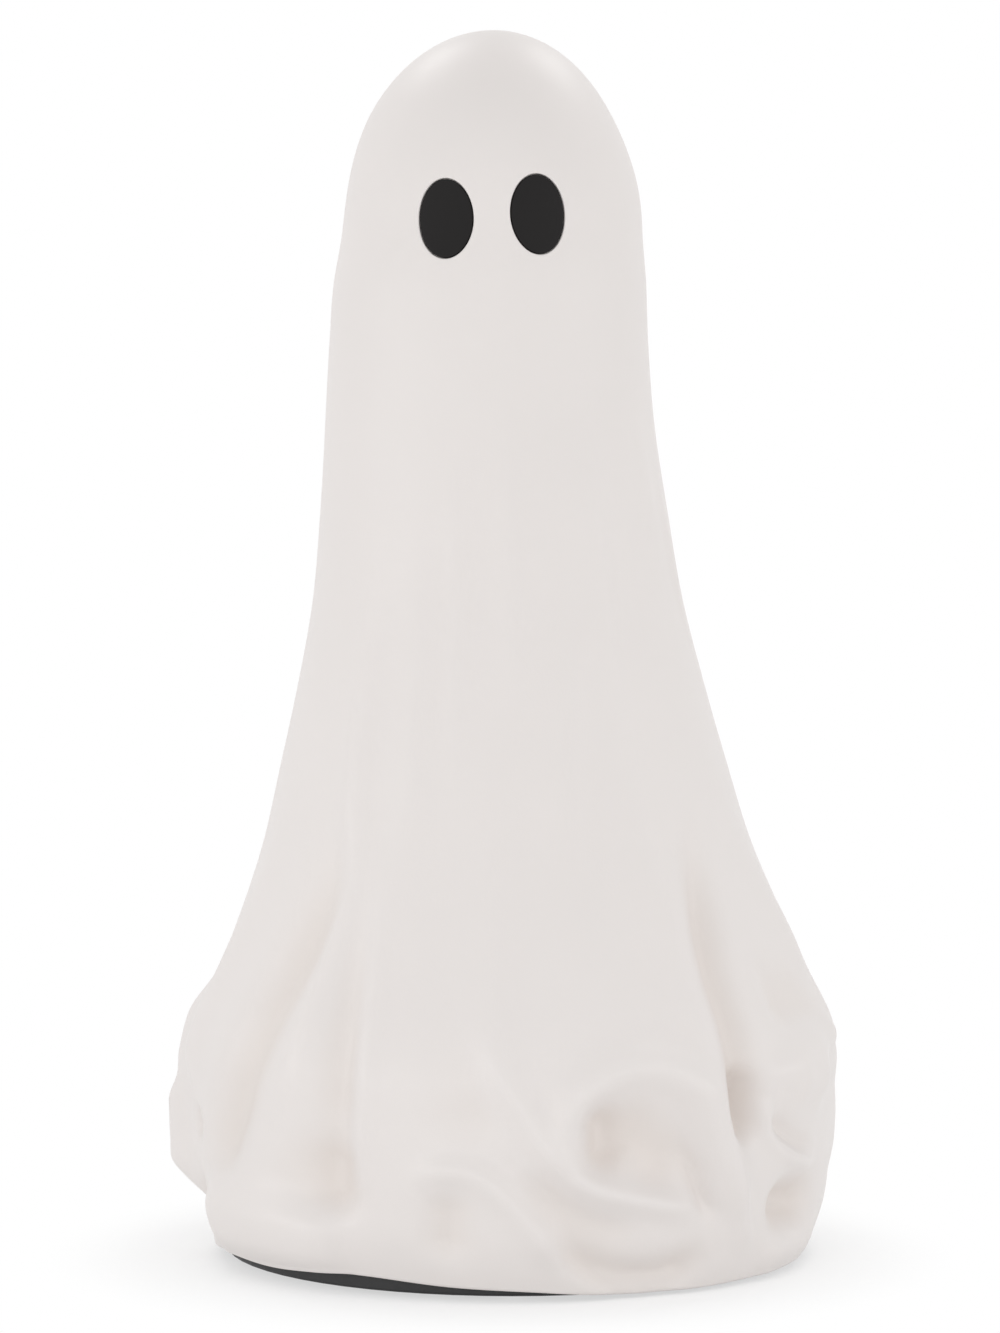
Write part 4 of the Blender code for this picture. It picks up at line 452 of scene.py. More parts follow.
class GhostColours(bpy.types.PropertyGroup):
    """Colours of the finishes."""

    body: colour_property("Body", "Warm white satin plastic", (0.80, 0.76, 0.74))
    eye: colour_property("Eyes", "Matt black", (0.006, 0.005, 0.005))
    base: colour_property("Base", "Black plastic", (0.012, 0.012, 0.013))
    rubber: colour_property("Feet", "Dark rubber", (0.03, 0.03, 0.032))
    steel: colour_property("Steel", "Plated steel", (0.62, 0.62, 0.63))
    jacket: colour_property("Cell jacket", "Printed sleeve of a cell", (0.10, 0.11, 0.13))
    lamp: colour_property("Lamp plastic", "White plastic of the lamp post", (0.80, 0.80, 0.78))
    cap: colour_property("Lamp cap", "Frosted cap", (0.86, 0.86, 0.84))
    board: colour_property("Lamp board", "Green solder mask", (0.03, 0.17, 0.07))
    laminate: colour_property("Switch board", "Bare brown laminate", (0.32, 0.19, 0.10))
    resin: colour_property("Diodes", "Clear resin", (0.90, 0.88, 0.78))
    resistor: colour_property("Resistor", "Lacquered body", (0.62, 0.47, 0.30))
    red_wire: colour_property("Red wire", "Red insulation", (0.55, 0.03, 0.02))
    black_wire: colour_property("Black wire", "Black insulation", (0.02, 0.02, 0.02))


class Term:
    """A shader socket that can stand in a sum: each step of an expression on it adds a Math node."""

    def __init__(self, finish, socket):
        self.finish = finish
        self.socket = socket

    def __add__(self, other):
        return self.finish.sum("ADD", self, other)

    def __radd__(self, other):
        return self.finish.sum("ADD", other, self)

    def __mul__(self, other):
        return self.finish.sum("MULTIPLY", self, other)

    def __rmul__(self, other):
        return self.finish.sum("MULTIPLY", other, self)


class Finish:
    """A material in the making: a Principled shader, and nodes that vary it over the surface."""

    def __init__(self, name, colour, roughness, **constants):
        self.material = bpy.data.materials.new(name)
        self.material.use_nodes = True
        self.material.diffuse_color = (*colour, 1.0)
        self.tree = self.material.node_tree
        self.shader = self.tree.nodes["Principled BSDF"]
        self.colour = (*colour, 1.0)
        self.shader.inputs["Base Color"].default_value = self.colour
        self.shader.inputs["Roughness"].default_value = roughness
        for socket, value in constants.items():
            self.shader.inputs[socket.replace("_", " ")].default_value = value

    def node(self, kind, settings=None, inputs=None, output=0):
        """Any node: its settings, then the values or links of its sockets."""
        made = self.tree.nodes.new(kind)
        for name, value in (settings or {}).items():
            if name == "stops":
                self.set_stops(made.color_ramp, value)
            else:
                setattr(made, name, value)
        for place, value in (inputs or {}).items():
            self.plug(made.inputs[place], value)
        return Term(self, made.outputs[output])

    def set_stops(self, ramp, stops):
        while len(ramp.elements) < len(stops):
            ramp.elements.new(0.5)
        for element, (place, value) in zip(ramp.elements, stops):
            element.position = place
            element.color = (value, value, value, 1.0)

    def plug(self, socket, value):
        if isinstance(value, Term):
            self.tree.links.new(value.socket, socket)
        else:
            socket.default_value = value

    def feed(self, name, value):
        self.plug(self.shader.inputs[name], value)
        return self

    def sum(self, operation, first, second):
        return self.node("ShaderNodeMath", {"operation": operation}, {0: first, 1: second})

    def place(self):
        return self.node("ShaderNodeTexCoord", output="Object")

    def attribute(self, name):
        return self.node("ShaderNodeAttribute", {"attribute_name": name}, output="Fac")

    def noise(self, size, detail=3.0, roughness=0.5):
        """Soft noise whose bumps are about this many metres across."""
        inputs = {"Vector": self.place(), "Scale": 1 / size, "Detail": detail, "Roughness": roughness}
        return self.node("ShaderNodeTexNoise", {}, inputs)

    def ramp(self, value, *stops):
        return self.node("ShaderNodeValToRGB", {"stops": stops}, {"Fac": value})

    def stripe(self, value, first, last, edge=0.002):
        """1 where a value lies between two places, and 0 elsewhere."""
        return self.ramp(value, (first, 0.0), (first + edge, 1.0), (last - edge, 1.0), (last, 0.0))

    def blend(self, first, second, share):
        """A colour part of the way from the first to the second."""
        inputs = {0: share, 6: self.as_colour(first), 7: self.as_colour(second)}
        return self.node("ShaderNodeMix", {"data_type": "RGBA"}, inputs, output=2)

    def as_colour(self, value):
        return value if isinstance(value, Term) or len(value) == 4 else (*value, 1.0)

    def shaded(self, factor):
        """The finish's own colour times a factor."""
        return tuple(min(1.0, c * factor) for c in self.colour[:3])

    def bump(self, height, distance):
        """Raise the surface by height, which runs from 0 to 1, times a distance in metres."""
        return self.node("ShaderNodeBump", {}, {"Height": height, "Distance": distance, "Strength": 1.0})


def body_finish(colours):
    """Warm white moulded plastic: satin, a little waxy, with faint mottling and a fine moulded skin."""
    made = Finish("white_body", colours.body, 0.42, Specular_IOR_Level=0.45)
    cloud = made.noise(45 * MM, 2.0)
    fine = made.noise(3.2 * MM, 3.0)
    hollow = made.attribute("hollow")
    tone = made.blend(made.shaded(0.985), made.shaded(1.012), cloud)
    # Painted shade in the valleys: the colour goes darker and warmer as they get deeper
    painted_valley_shade = (made.colour[0] * 0.93, made.colour[1] * 0.89, made.colour[2] * 0.85)
    made.feed("Base Color", made.blend(tone, painted_valley_shade, hollow * 0.55))
    made.feed("Roughness", 0.38 + 0.06 * cloud + 0.05 * fine + 0.08 * hollow)
    skin = 0.7 * made.noise(0.9 * MM, 2.0) + 0.3 * fine
    made.feed("Normal", made.bump(skin, 0.03 * MM))
    return made.material


def eye_finish(colours):
    """Matt black with a trace of moulded grain."""
    made = Finish("black_eye", colours.eye, 0.6, Specular_IOR_Level=0.25)
    grain = made.noise(0.8 * MM, 3.0)
    made.feed("Base Color", made.blend(made.shaded(0.8), made.shaded(1.3), grain))
    made.feed("Roughness", 0.56 + 0.1 * grain)
    made.feed("Normal", made.bump(grain, 0.02 * MM))
    return made.material


def base_finish(colours):
    """Black plastic with a fine spark-eroded grain and slightly worn high spots."""
    made = Finish("black_base", colours.base, 0.5)
    grain = made.noise(0.7 * MM, 4.0, 0.6)
    wear = made.ramp(made.noise(16 * MM, 4.0), (0.45, 0.0), (0.75, 1.0))
    made.feed("Base Color", made.blend(made.shaded(0.9), made.shaded(1.9), wear * 0.5))
    made.feed("Roughness", 0.44 + 0.12 * grain + 0.05 * wear)
    made.feed("Normal", made.bump(grain, 0.05 * MM))
    return made.material


def rubber_finish(colours):
    made = Finish("foot_rubber", colours.rubber, 0.85)
    dust = made.ramp(made.noise(2.5 * MM, 4.0), (0.4, 0.0), (0.8, 1.0))
    made.feed("Base Color", made.blend(made.shaded(1.0), made.shaded(2.2), dust * 0.6))
    made.feed("Roughness", 0.8 + 0.12 * dust)
    made.feed("Normal", made.bump(made.noise(0.5 * MM, 3.0), 0.03 * MM))
    return made.material


def steel_finish(colours):
    """Bright plated steel with faint drawing marks and dull patches."""
    made = Finish("steel", colours.steel, 0.3, Metallic=1.0)
    streak = made.node("ShaderNodeMapping", {}, {"Vector": made.place(), "Scale": (9000.0, 400.0, 400.0)})
    marks = made.node("ShaderNodeTexNoise", {}, {"Vector": streak, "Scale": 1.0, "Detail": 3.0})
    patch = made.noise(3 * MM, 3.0)
    made.feed("Base Color", made.blend(made.shaded(0.82), made.shaded(1.1), patch))
    made.feed("Roughness", 0.22 + 0.14 * marks + 0.1 * patch)
    made.feed("Normal", made.bump(marks, 0.006 * MM))
    return made.material


def plain_finish(name, colour, roughness, grain_size, grain_height, mottle=0.06, **constants):
    """A moulded or coated surface: a little mottling in its colour, its own grain and gloss."""
    made = Finish(name, colour, roughness, **constants)
    cloud = made.noise(grain_size * 8, 3.0)
    grain = made.noise(grain_size, 3.0)
    made.feed("Base Color", made.blend(made.shaded(1 - mottle), made.shaded(1 + mottle), cloud))
    made.feed("Roughness", roughness - 0.05 + 0.06 * cloud + 0.04 * grain)
    made.feed("Normal", made.bump(grain, grain_height))
    return made.material


def jacket_finish(colours):
    """The printed sleeve of a cell: dark, with a pale ring and a broad pale band near its positive end. The
    attribute "along" runs from 0 at the negative end to 1."""
    made = Finish("cell_jacket", colours.jacket, 0.35)
    along = made.attribute("along")
    pale = made.stripe(along, *CELL_BAND) + made.stripe(along, *CELL_RING)
    made.feed("Base Color", made.blend(made.shaded(1.0), (0.52, 0.54, 0.57), pale))
    made.feed("Roughness", 0.3 + 0.08 * made.noise(1 * MM))
    made.feed("Normal", made.bump(made.noise(2 * MM), 0.01 * MM))
    return made.material


def make_finishes(colours):
    """Every finish by its slot."""
    return {
        "body_white": body_finish(colours),
        "eye_black": eye_finish(colours),
        "base_black": base_finish(colours),
        "foot_rubber": rubber_finish(colours),
        "steel": steel_finish(colours),
        "cell_jacket": jacket_finish(colours),
        "lamp_plastic": plain_finish("lamp_plastic", colours.lamp, 0.5, 1.2 * MM, 0.03 * MM, 0.02),
        "cap_frosted": plain_finish("frosted_cap", colours.cap, 0.65, 0.5 * MM, 0.05 * MM, 0.02),
        "board_green": plain_finish("board_green", colours.board, 0.35, 0.8 * MM, 0.02 * MM, 0.15),
        "board_brown": plain_finish("board_brown", colours.laminate, 0.6, 0.4 * MM, 0.03 * MM, 0.12),
        "led_resin": plain_finish("led_resin", colours.resin, 0.15, 4 * MM, 0.005 * MM, 0.02),
        "resistor_body": plain_finish("resistor_body", colours.resistor, 0.45, 0.5 * MM, 0.02 * MM, 0.1),
        "wire_red": plain_finish("red_wire", colours.red_wire, 0.42, 0.6 * MM, 0.01 * MM, 0.08),
        "wire_black": plain_finish("black_wire", colours.black_wire, 0.42, 0.6 * MM, 0.01 * MM, 0.2),
    }


def finish(slot):
    """The finish for a slot, made the first time one is asked for."""
    names = bpy.context.scene.get("ghost_finishes")
    if names is None:
        made = make_finishes(bpy.context.scene.ghost_colours)
        names = {key: material.name for key, material in made.items()}
        bpy.context.scene["ghost_finishes"] = names
    return bpy.data.materials[names[slot]]


def dress(slot, *nodes):
    """Give CAD pieces that show as they are the finish of their slot."""
    for name in nodes:
        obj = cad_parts[name]
        obj.data.materials.clear()
        obj.data.materials.append(finish(slot))


def shade(mesh, sharp):
    """Smooth shading, apart from edges that turn by more than an angle in degrees."""
    mesh.shade_smooth()
    mesh.set_sharp_from_angle(angle=math.radians(sharp))


def settle_piece(name, mesh, slot, body, *nodes, sharp):
    """Make a finished mesh a piece that rides on a body and stands for CAD nodes."""
    obj = bpy.data.objects.new(name, mesh)
    bpy.context.scene.collection.objects.link(obj)
    mesh.materials.clear()
    mesh.materials.append(finish(slot))
    shade(mesh, sharp)
    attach(obj, body)
    if nodes:
        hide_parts(*nodes)
    return obj


def new_piece(name, bm, slot, body, *nodes, sharp):
    """The same from a bmesh, which is used up."""
    mesh = bpy.data.meshes.new(name)
    bm.to_mesh(mesh)
    bm.free()
    return settle_piece(name, mesh, slot, body, *nodes, sharp=sharp)


def spin_profile(bm, points, steps, layer=None):
    """Turn (radius, height) points about the Z axis into a closed skin. A layer keeps the points' numbers."""
    verts = [bm.verts.new((radius, 0.0, height)) for radius, height in points]
    if layer is not None:
        for number, vert in enumerate(verts):
            vert[layer] = number
    edges = [bm.edges.new(pair) for pair in zip(verts, verts[1:])]
    bmesh.ops.spin(
        bm,
        geom=[*verts, *edges],
        cent=(0.0, 0.0, 0.0),
        axis=(0.0, 0.0, 1.0),
        dvec=(0.0, 0.0, 0.0),
        angle=2 * math.pi,
        steps=steps,
        use_merge=True,
        use_duplicate=False,
    )
    bmesh.ops.remove_doubles(bm, verts=bm.verts, dist=1e-6)
    bmesh.ops.recalc_face_normals(bm, faces=bm.faces)


def body_profile(wall):
    """(radius, height, kind) points of the body's section, from the crown down the outside, round the hem,
    over the flange that the base screws to, and up the inside. The kinds are outside, hem, flange and
    inside."""
    points = [(0.0, BODY_HEIGHT, "outside")]
    heights = [
        HEAD_HEIGHT + DOME_RISE * math.cos(math.pi / 2 * k / DOME_RINGS) for k in range(1, DOME_RINGS)
    ]
    heights += list(np.linspace(HEAD_HEIGHT, SKIRT_TOP, FLANK_RINGS, endpoint=False))
    heights += list(np.linspace(SKIRT_TOP, HEM_ROUND, SKIRT_RINGS))
    points += [(float(plain_radius(z)), z, "outside") for z in heights]
    edge = points[-1][0]
    for k in range(1, HEM_ROUND_STEPS + 1):
        turn = math.pi / 2 * k / HEM_ROUND_STEPS
        points.append((edge - HEM_ROUND * (1 - math.cos(turn)), HEM_ROUND * (1 - math.sin(turn)), "hem"))
    points.append((RECESS_RADIUS + HEM_ROUND / 3, 0.0, "hem"))
    points.append((RECESS_RADIUS, HEM_ROUND / 3, "hem"))
    opening = RECESS_RADIUS - FLANGE_WIDTH
    points += [(RECESS_RADIUS, FLANGE_BOTTOM, "flange"), (opening, FLANGE_BOTTOM, "flange")]
    points.append((opening, FLANGE_TOP, "flange"))
    inner = np.linspace(FLANGE_TOP, HEAD_HEIGHT, INNER_RINGS)
    points += [(float(plain_radius(z)) - wall, float(z), "inside") for z in inner]
    for k in range(INNER_DOME_RINGS - 1, 0, -1):
        z = HEAD_HEIGHT + (DOME_RISE - wall) * math.cos(math.pi / 2 * k / INNER_DOME_RINGS)
        points.append((float(plain_radius(z)) - wall, z, "inside"))
    points.append((0.0, BODY_HEIGHT - wall, "inside"))
    return points


def shape_body(mesh, profile, wall):
    """Move the points of the turned body onto the folds, the hem and the lean."""
    count = len(mesh.vertices)
    points = np.empty(count * 3, np.float32)
    mesh.vertices.foreach_get("co", points)
    points = points.reshape(-1, 3).astype(float)
    number = np.empty(count, np.int32)
    mesh.attributes["station"].data.foreach_get("value", number)
    kinds = np.array([kind for _, _, kind in profile])[number]
    radius = np.hypot(points[:, 0], points[:, 1])
    on_axis = radius < 1e-6
    turn = np.arctan2(points[:, 0], -points[:, 1])
    turn = np.degrees(turn - FRONT_CROWDING * np.sin(turn))
    height = points[:, 2].copy()
    plain = plain_radius(height)
    folded = body_radius(turn, height)
    shift = folded - plain
    outside = kinds == "outside"
    radius = np.where(outside, folded, radius)
    outer_hem = (kinds == "hem") & (radius > RECESS_RADIUS + HEM_ROUND / 2)
    at_hem = body_radius(turn, np.full(count, HEM_ROUND)) - plain_radius(HEM_ROUND)
    radius = np.where(outer_hem, radius + at_hem, radius)
    inside = kinds == "inside"
    steps = (-INNER_REACH, 0, INNER_REACH)
    near = [body_radius(turn[inside] + a, height[inside] + z * MM) for a in steps for z in steps]
    radius[inside] = np.minimum.reduce(near) - wall
    low = np.isin(kinds, ("outside", "hem"))
    blend = np.where(low, 1 - np.clip(height / HEM_BLEND_HEIGHT, 0.0, 1.0), 0.0)
    new_height = height + hem_height(turn) * blend
    radius = np.where(on_axis, 0.0, radius)
    bearing = np.radians(turn)
    centre = np.where(kinds == "flange", BASE_X, middle_x(height))
    points[:, 0] = radius * np.sin(bearing) + centre
    points[:, 1] = -radius * np.cos(bearing)
    points[:, 2] = new_height
    mesh.vertices.foreach_set("co", points.astype(np.float32).ravel())
    # How deep the valleys are: the finish paints shade there in its colour, and makes them a little rougher
    hollow = np.clip(-shift / HOLLOW_DEPTH, 0.0, 1.0) * outside
    mesh.attributes.new("hollow", "FLOAT", "POINT").data.foreach_set("value", hollow.astype(np.float32))
    mesh.attributes.remove(mesh.attributes["station"])
    mesh.update()


def cut(obj, bm, operation="DIFFERENCE"):
    """Cut a solid from a piece, or join it on, and keep the result as the piece's mesh."""
    mesh = bpy.data.meshes.new("cutter")
    bmesh.ops.recalc_face_normals(bm, faces=bm.faces)
    bm.to_mesh(mesh)
    bm.free()
    cutter = bpy.data.objects.new("cutter", mesh)
    bpy.context.scene.collection.objects.link(cutter)
    modifier = obj.modifiers.new("cut", "BOOLEAN")
    modifier.operation = operation
    modifier.solver = "MANIFOLD"
    modifier.object = cutter
    before = (len(obj.data.vertices), len(obj.data.polygons))
    bpy.context.view_layer.update()
    evaluated = obj.evaluated_get(bpy.context.evaluated_depsgraph_get())
    made = bpy.data.meshes.new_from_object(evaluated)
    if not made.polygons or (len(made.vertices), len(made.polygons)) == before:
        raise RuntimeError(f"a cut in {obj.name} changed nothing")
    obj.modifiers.clear()
    obj.data = made
    bpy.data.objects.remove(cutter)
    bpy.data.meshes.remove(mesh)
    return obj


def rod(bm, radius, bottom, top, place=(0.0, 0.0), segments=24):
    """An upright cylinder, added to a bmesh."""
    middle = Matrix.Translation((place[0], place[1], (top + bottom) / 2))
    size = {"radius1": radius, "radius2": radius, "depth": top - bottom}
    bmesh.ops.create_cone(bm, cap_ends=True, segments=segments, matrix=middle, **size)
    return bm


def around(count, radius):
    """Places evenly spaced on a circle about the base's middle, the first at the front."""
    angles = [math.radians(360 / count * k) for k in range(count)]
    return [(BASE_X + radius * math.sin(a), -radius * math.cos(a)) for a in angles]


def eye_point(side, across, up, depth):
    """A point in an eye's own frame: across and up over the head's skin, and a depth straight in from it."""
    sign, low, high = (-1, *EYE_BOXES["right"]) if side == "right" else (1, *EYE_BOXES["left"])
    middle = (low.z + high.z) / 2
    height = middle + up
    bearing = EYE_BEARING * sign
    shift = float(middle_x(middle) - middle_x(height))
    beside = across + shift * math.cos(bearing)
    skin = math.sqrt(float(plain_radius(height)) ** 2 - beside**2) - shift * math.sin(bearing)
    forward = skin - depth
    x = float(middle_x(middle)) + across * math.cos(bearing) + forward * math.sin(bearing)
    return Vector((x, across * math.sin(bearing) - forward * math.cos(bearing), height))


def eye_loft(side, sections):
    """A closed solid along an eye's axis through ovals of (half width, half height, depth). Only the right
    eye is tilted, its top away from the middle of the face."""
    tilt = EYE_TILT if side == "right" else 0.0
    bm = bmesh.new()
    rings = [bmesh.ops.create_circle(bm, cap_ends=True, segments=EYE_SEGMENTS, radius=1.0)["verts"]]
    edges = bm.edges[:]
    for _ in sections[1:]:
        grown = bmesh.ops.extrude_edge_only(bm, edges=edges)["geom"]
        edges = [part for part in grown if isinstance(part, bmesh.types.BMEdge)]
        rings.append([part for part in grown if isinstance(part, bmesh.types.BMVert)])
    bmesh.ops.contextual_create(bm, geom=edges)
    for verts, (half_width, half_height, depth) in zip(rings, sections):
        for vert in verts:
            angle = math.atan2(vert.co.y, vert.co.x)
            across = half_width * math.cos(angle)
            up = half_height * math.sin(angle)
            turned = (
                across * math.cos(tilt) - up * math.sin(tilt),
                up * math.cos(tilt) + across * math.sin(tilt),
            )
            vert.co = eye_point(side, *turned, depth)
    bmesh.ops.recalc_face_normals(bm, faces=bm.faces)
    return bm


class GHOST_OT_body(bpy.types.Operator):
    """Build the moulded ghost: its folds, hem, flange, inner wall, screw bosses and eye sockets"""

    bl_idname = "ghost.body"
    bl_label = "Body"

    def execute(self, context):
        sizes = context.scene.ghost_sizes
        profile = body_profile(sizes.wall)
        bm = bmesh.new()
        station = bm.verts.layers.int.new("station")
        spin_profile(bm, [(radius, height) for radius, height, _ in profile], sizes.columns, station)
        mesh = bpy.data.meshes.new("ghost_body_shell")
        bm.to_mesh(mesh)
        bm.free()
        shape_body(mesh, profile, sizes.wall)
        body = settle_piece("ghost_body_shell", mesh, "body_white", "root", "ghost_body", sharp=BODY_SHARP)
        for place in around(4, BASE_RADIUS - BOSS_INSET):
            boss = rod(bmesh.new(), BOSS_RADIUS, FLANGE_TOP - BOSS_OVERLAP, BOSS_TOP, place)
            cut(body, boss, "UNION")
            bottom = FLANGE_BOTTOM - BOSS_OVERLAP
            cut(body, rod(bmesh.new(), PILOT_RADIUS, bottom, PILOT_TOP, place, PILOT_SEGMENTS))
        for side in ("right", "left"):
            self.cut_socket(body, side, sizes)
        shade(body.data, BODY_SHARP)
        return {"FINISHED"}

    def cut_socket(self, body, side, sizes):
        """A recess with a rolled rim, and the hole for the insert's peg through its floor."""
        width, height = sizes.eye_width / 2 + EYE_GAP, sizes.eye_height / 2 + EYE_GAP
        rim, floor = sizes.eye_rim, EYE_INSET + EYE_THICKNESS + EYE_GAP
        wide, high = width + rim + SOCKET_MARGIN, height + rim + SOCKET_MARGIN
        sections = [(wide, high, -SOCKET_MARGIN), (wide, high, -0.1 * MM)]
        for k in range(1, EYE_ROUND_STEPS + 1):
            turn = math.pi / 2 * k / EYE_ROUND_STEPS
            grow = rim * (1 - math.sin(turn))
            sections.append((width + grow, height + grow, rim * (1 - math.cos(turn))))
        hole = EYE_PEG_RADIUS + EYE_GAP
        sections += [(width, height, floor), (hole, hole, floor), (hole, hole, 4 * sizes.wall)]
        cut(body, eye_loft(side, sections))


class GHOST_OT_eyes(bpy.types.Operator):
    """Build the two black oval inserts, each with the peg that holds it in the wall"""

    bl_idname = "ghost.eyes"
    bl_label = "Eyes"

    def execute(self, context):
        sizes = context.scene.ghost_sizes
        for side in ("right", "left"):
            width, height = sizes.eye_width / 2, sizes.eye_height / 2
            face = [(width * s, height * s, EYE_INSET) for s in (0.1, 0.3, 0.5, 0.7, 0.85)]
            for k in range(EYE_ROUND_STEPS + 1):
                turn = math.pi / 2 * k / EYE_ROUND_STEPS
                inside = EYE_EDGE * (1 - math.sin(turn))
                depth = EYE_INSET + EYE_EDGE * (1 - math.cos(turn))
                face.append((width - inside, height - inside, depth))
            back = EYE_INSET + EYE_THICKNESS
            end = back + EYE_PEG_LENGTH - EYE_THICKNESS / 2
            face.append((width, height, back - EYE_BACK_EDGE))
            face.append((width - EYE_BACK_EDGE, height - EYE_BACK_EDGE, back))
            peg, tip = EYE_PEG_RADIUS, EYE_PEG_RADIUS - EYE_PEG_EDGE
            face += [(peg, peg, back), (peg, peg, end - EYE_PEG_EDGE), (tip, tip, end)]
            bm = eye_loft(side, face)
            new_piece(f"{side}_eye_insert", bm, "eye_black", "root", f"{side}_eye", sharp=BODY_SHARP)
        return {"FINISHED"}


def turned_piece(name, profile, slot, body, *nodes, place, cross=None):
    """A turned piece on an upright axis, from (radius, height) points that start and end on the axis."""
    bm = bmesh.new()
    spin_profile(bm, profile, TURNED_SEGMENTS)
    bmesh.ops.translate(bm, vec=(place[0], place[1], 0.0), verts=bm.verts)
    piece = new_piece(name, bm, slot, body, *nodes, sharp=TURNED_SHARP)
    if cross:
        cut_cross(piece, place, *cross)
        shade(piece.data, TURNED_SHARP)
    return piece


def cut_cross(piece, place, face, size, depth):
    """A cross recess for a driver in the underside of a screw's head."""
    for turn in (0, 90):
        bm = bmesh.new()
        made = bmesh.ops.create_cube(bm, size=1.0)["verts"]
        bmesh.ops.scale(bm, vec=(size, size * CROSS_WIDTH, depth * 2), verts=made)
        for vert in made:
            if vert.co.z > 0:
                vert.co.x *= CROSS_BOTTOM
        bmesh.ops.rotate(bm, matrix=Matrix.Rotation(math.radians(turn + CROSS_TURN), 3, "Z"), verts=made)
        bmesh.ops.translate(bm, vec=(place[0], place[1], face), verts=made)
        cut(piece, bm)


def screw_profile(head, head_height, shank, bottom, top, dome=0.3):
    """A pan-head screw that points up: a domed head, then a shank with a pointed tip."""
    edge = head_height * dome
    points = [(0.0, bottom)]
    turns = (0.4, 0.8, 1.2, math.pi / 2)
    points += [(head * math.sin(turn), bottom + edge * (1 - math.cos(turn))) for turn in turns]
    points += [(head, bottom + head_height * 0.85), (head * 0.95, bottom + head_height)]
    points += [(shank, bottom + head_height), (shank, top - shank * 1.5), (0.0, top)]
    return points


def box_circle(name):
    """Where an upright round CAD piece stands: its middle in plan, its radius, its bottom and its top."""
    low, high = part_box(name)
    return ((low.x + high.x) / 2, (low.y + high.y) / 2), (high.x - low.x) / 2, low.z, high.z


def screw(name, node, body, head_height, shank, cross_depth):
    place, radius, bottom, top = box_circle(node)
    profile = screw_profile(radius, head_height, shank, bottom, top)
    cross = (bottom, radius * CROSS_SHARE, cross_depth)
    turned_piece(name, profile, "steel", body, node, place=place, cross=cross)


def rubber_foot(name, node):
    """A rubber foot with a rounded edge and a shallow dished sole."""
    place, radius, _, top = box_circle(node)
    profile = [(0.0, 0.35 * MM), (radius * 0.45, 0.3 * MM), (radius * 0.62, 0.0)]
    profile += [(radius * 0.8, 0.0), (radius * 0.93, 0.18 * MM), (radius * 0.99, 0.5 * MM)]
    profile += [(radius, 0.9 * MM), (radius, top), (0.0, top)]
    turned_piece(name, profile, "foot_rubber", "root", node, place=place)


class GHOST_OT_base(bpy.types.Operator):
    """Finish the base, its door and its knob, and build the feet and screws"""

    bl_idname = "ghost.base"
    bl_label = "Base"

    def execute(self, context):
        dress("base_black", "base", "battery_door", "switch_knob")
        for k in (1, 2, 3, 4):
            rubber_foot(f"rubber_foot_{k}", f"foot_{k}")
        base_sizes = (BASE_SCREW_HEAD_HEIGHT, BASE_SCREW_SHANK, BASE_CROSS_DEPTH)
        for k in (1, 2, 3, 4):
            screw(f"base_screw_piece_{k}", f"base_screw_{k}", "root", *base_sizes)
        door_sizes = (DOOR_SCREW_HEAD_HEIGHT, DOOR_SCREW_SHANK, DOOR_CROSS_DEPTH)
        screw("door_screw", "battery_door_screw", "battery_door", *door_sizes)
        return {"FINISHED"}


def lay_along(bm, start, direction):
    """Turn an upright bmesh so that its up points along X, one way or the other, from a start."""
    turn = Matrix.Rotation(math.pi / 2 * direction, 3, "Y")
    bmesh.ops.rotate(bm, matrix=turn, verts=bm.verts)
    bmesh.ops.translate(bm, vec=start, verts=bm.verts)


def cell_can(radius, length):
    """A cell's bare steel can, as (radius, height) points from its dished negative end to its stepped nub."""
    end, nub = length - CELL_NUB, CELL_NUB_RADIUS
    wall, shoulder, dish = radius - 0.35 * MM, radius - 0.9 * MM, radius - 2.8 * MM
    return [
        (0.0, 0.35 * MM),
        (dish, 0.35 * MM),
        (dish + 0.5 * MM, 0.1 * MM),
        (shoulder, 0.1 * MM),
        (wall, 0.35 * MM),
        (wall, end - 0.35 * MM),
        (shoulder, end - 0.1 * MM),
        (nub + 0.9 * MM, end - 0.1 * MM),
        (nub + 0.15 * MM, end + 0.05 * MM),
        (nub, end + 0.3 * MM),
        (nub, length - 0.25 * MM),
        (nub - 0.25 * MM, length),
        (0.0, length),
    ]


def cell_sleeve(radius, length):
    """The sleeve, shrunk over the can's shoulders, as a closed loop of (radius, height) points."""
    end = length - CELL_NUB
    lip, bore = radius - SLEEVE_LIP, radius - SLEEVE_THICKNESS
    edge = [(lip, 0.0), (radius - 0.35 * MM, 0.0), (radius - 0.08 * MM, 0.15 * MM), (radius, 0.45 * MM)]
    inner = [(bore, 0.3 * MM), (lip, 0.1 * MM)]
    far_edge = [(across, end - height) for across, height in reversed(edge)]
    far_inner = [(across, end - height) for across, height in reversed(inner)]
    return [*edge, *far_edge, *far_inner, *inner, edge[0]]


def cell(k):
    """A cell in two pieces: its printed sleeve, and the can that shows at both ends."""
    low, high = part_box(f"battery_cell_{k}")
    spring_low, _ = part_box(f"battery_spring_{k}")
    direction = 1 if spring_low.x < low.x else -1
    start = Vector((low.x if direction > 0 else high.x, (low.y + high.y) / 2, (low.z + high.z) / 2))
    radius, length = (high.z - low.z) / 2, high.x - low.x
    bm = bmesh.new()
    spin_profile(bm, cell_sleeve(radius, length), CELL_SEGMENTS)
    along = bm.verts.layers.float.new("along")
    for vert in bm.verts:
        vert[along] = vert.co.z / length
    lay_along(bm, start, direction)
    new_piece(f"cell_{k}_sleeve", bm, "cell_jacket", "root", f"battery_cell_{k}", sharp=TURNED_SHARP)
    bm = bmesh.new()
    spin_profile(bm, cell_can(radius, length), CELL_SEGMENTS)
    lay_along(bm, start, direction)
    new_piece(f"cell_{k}_can", bm, "steel", "root", sharp=TURNED_SHARP)


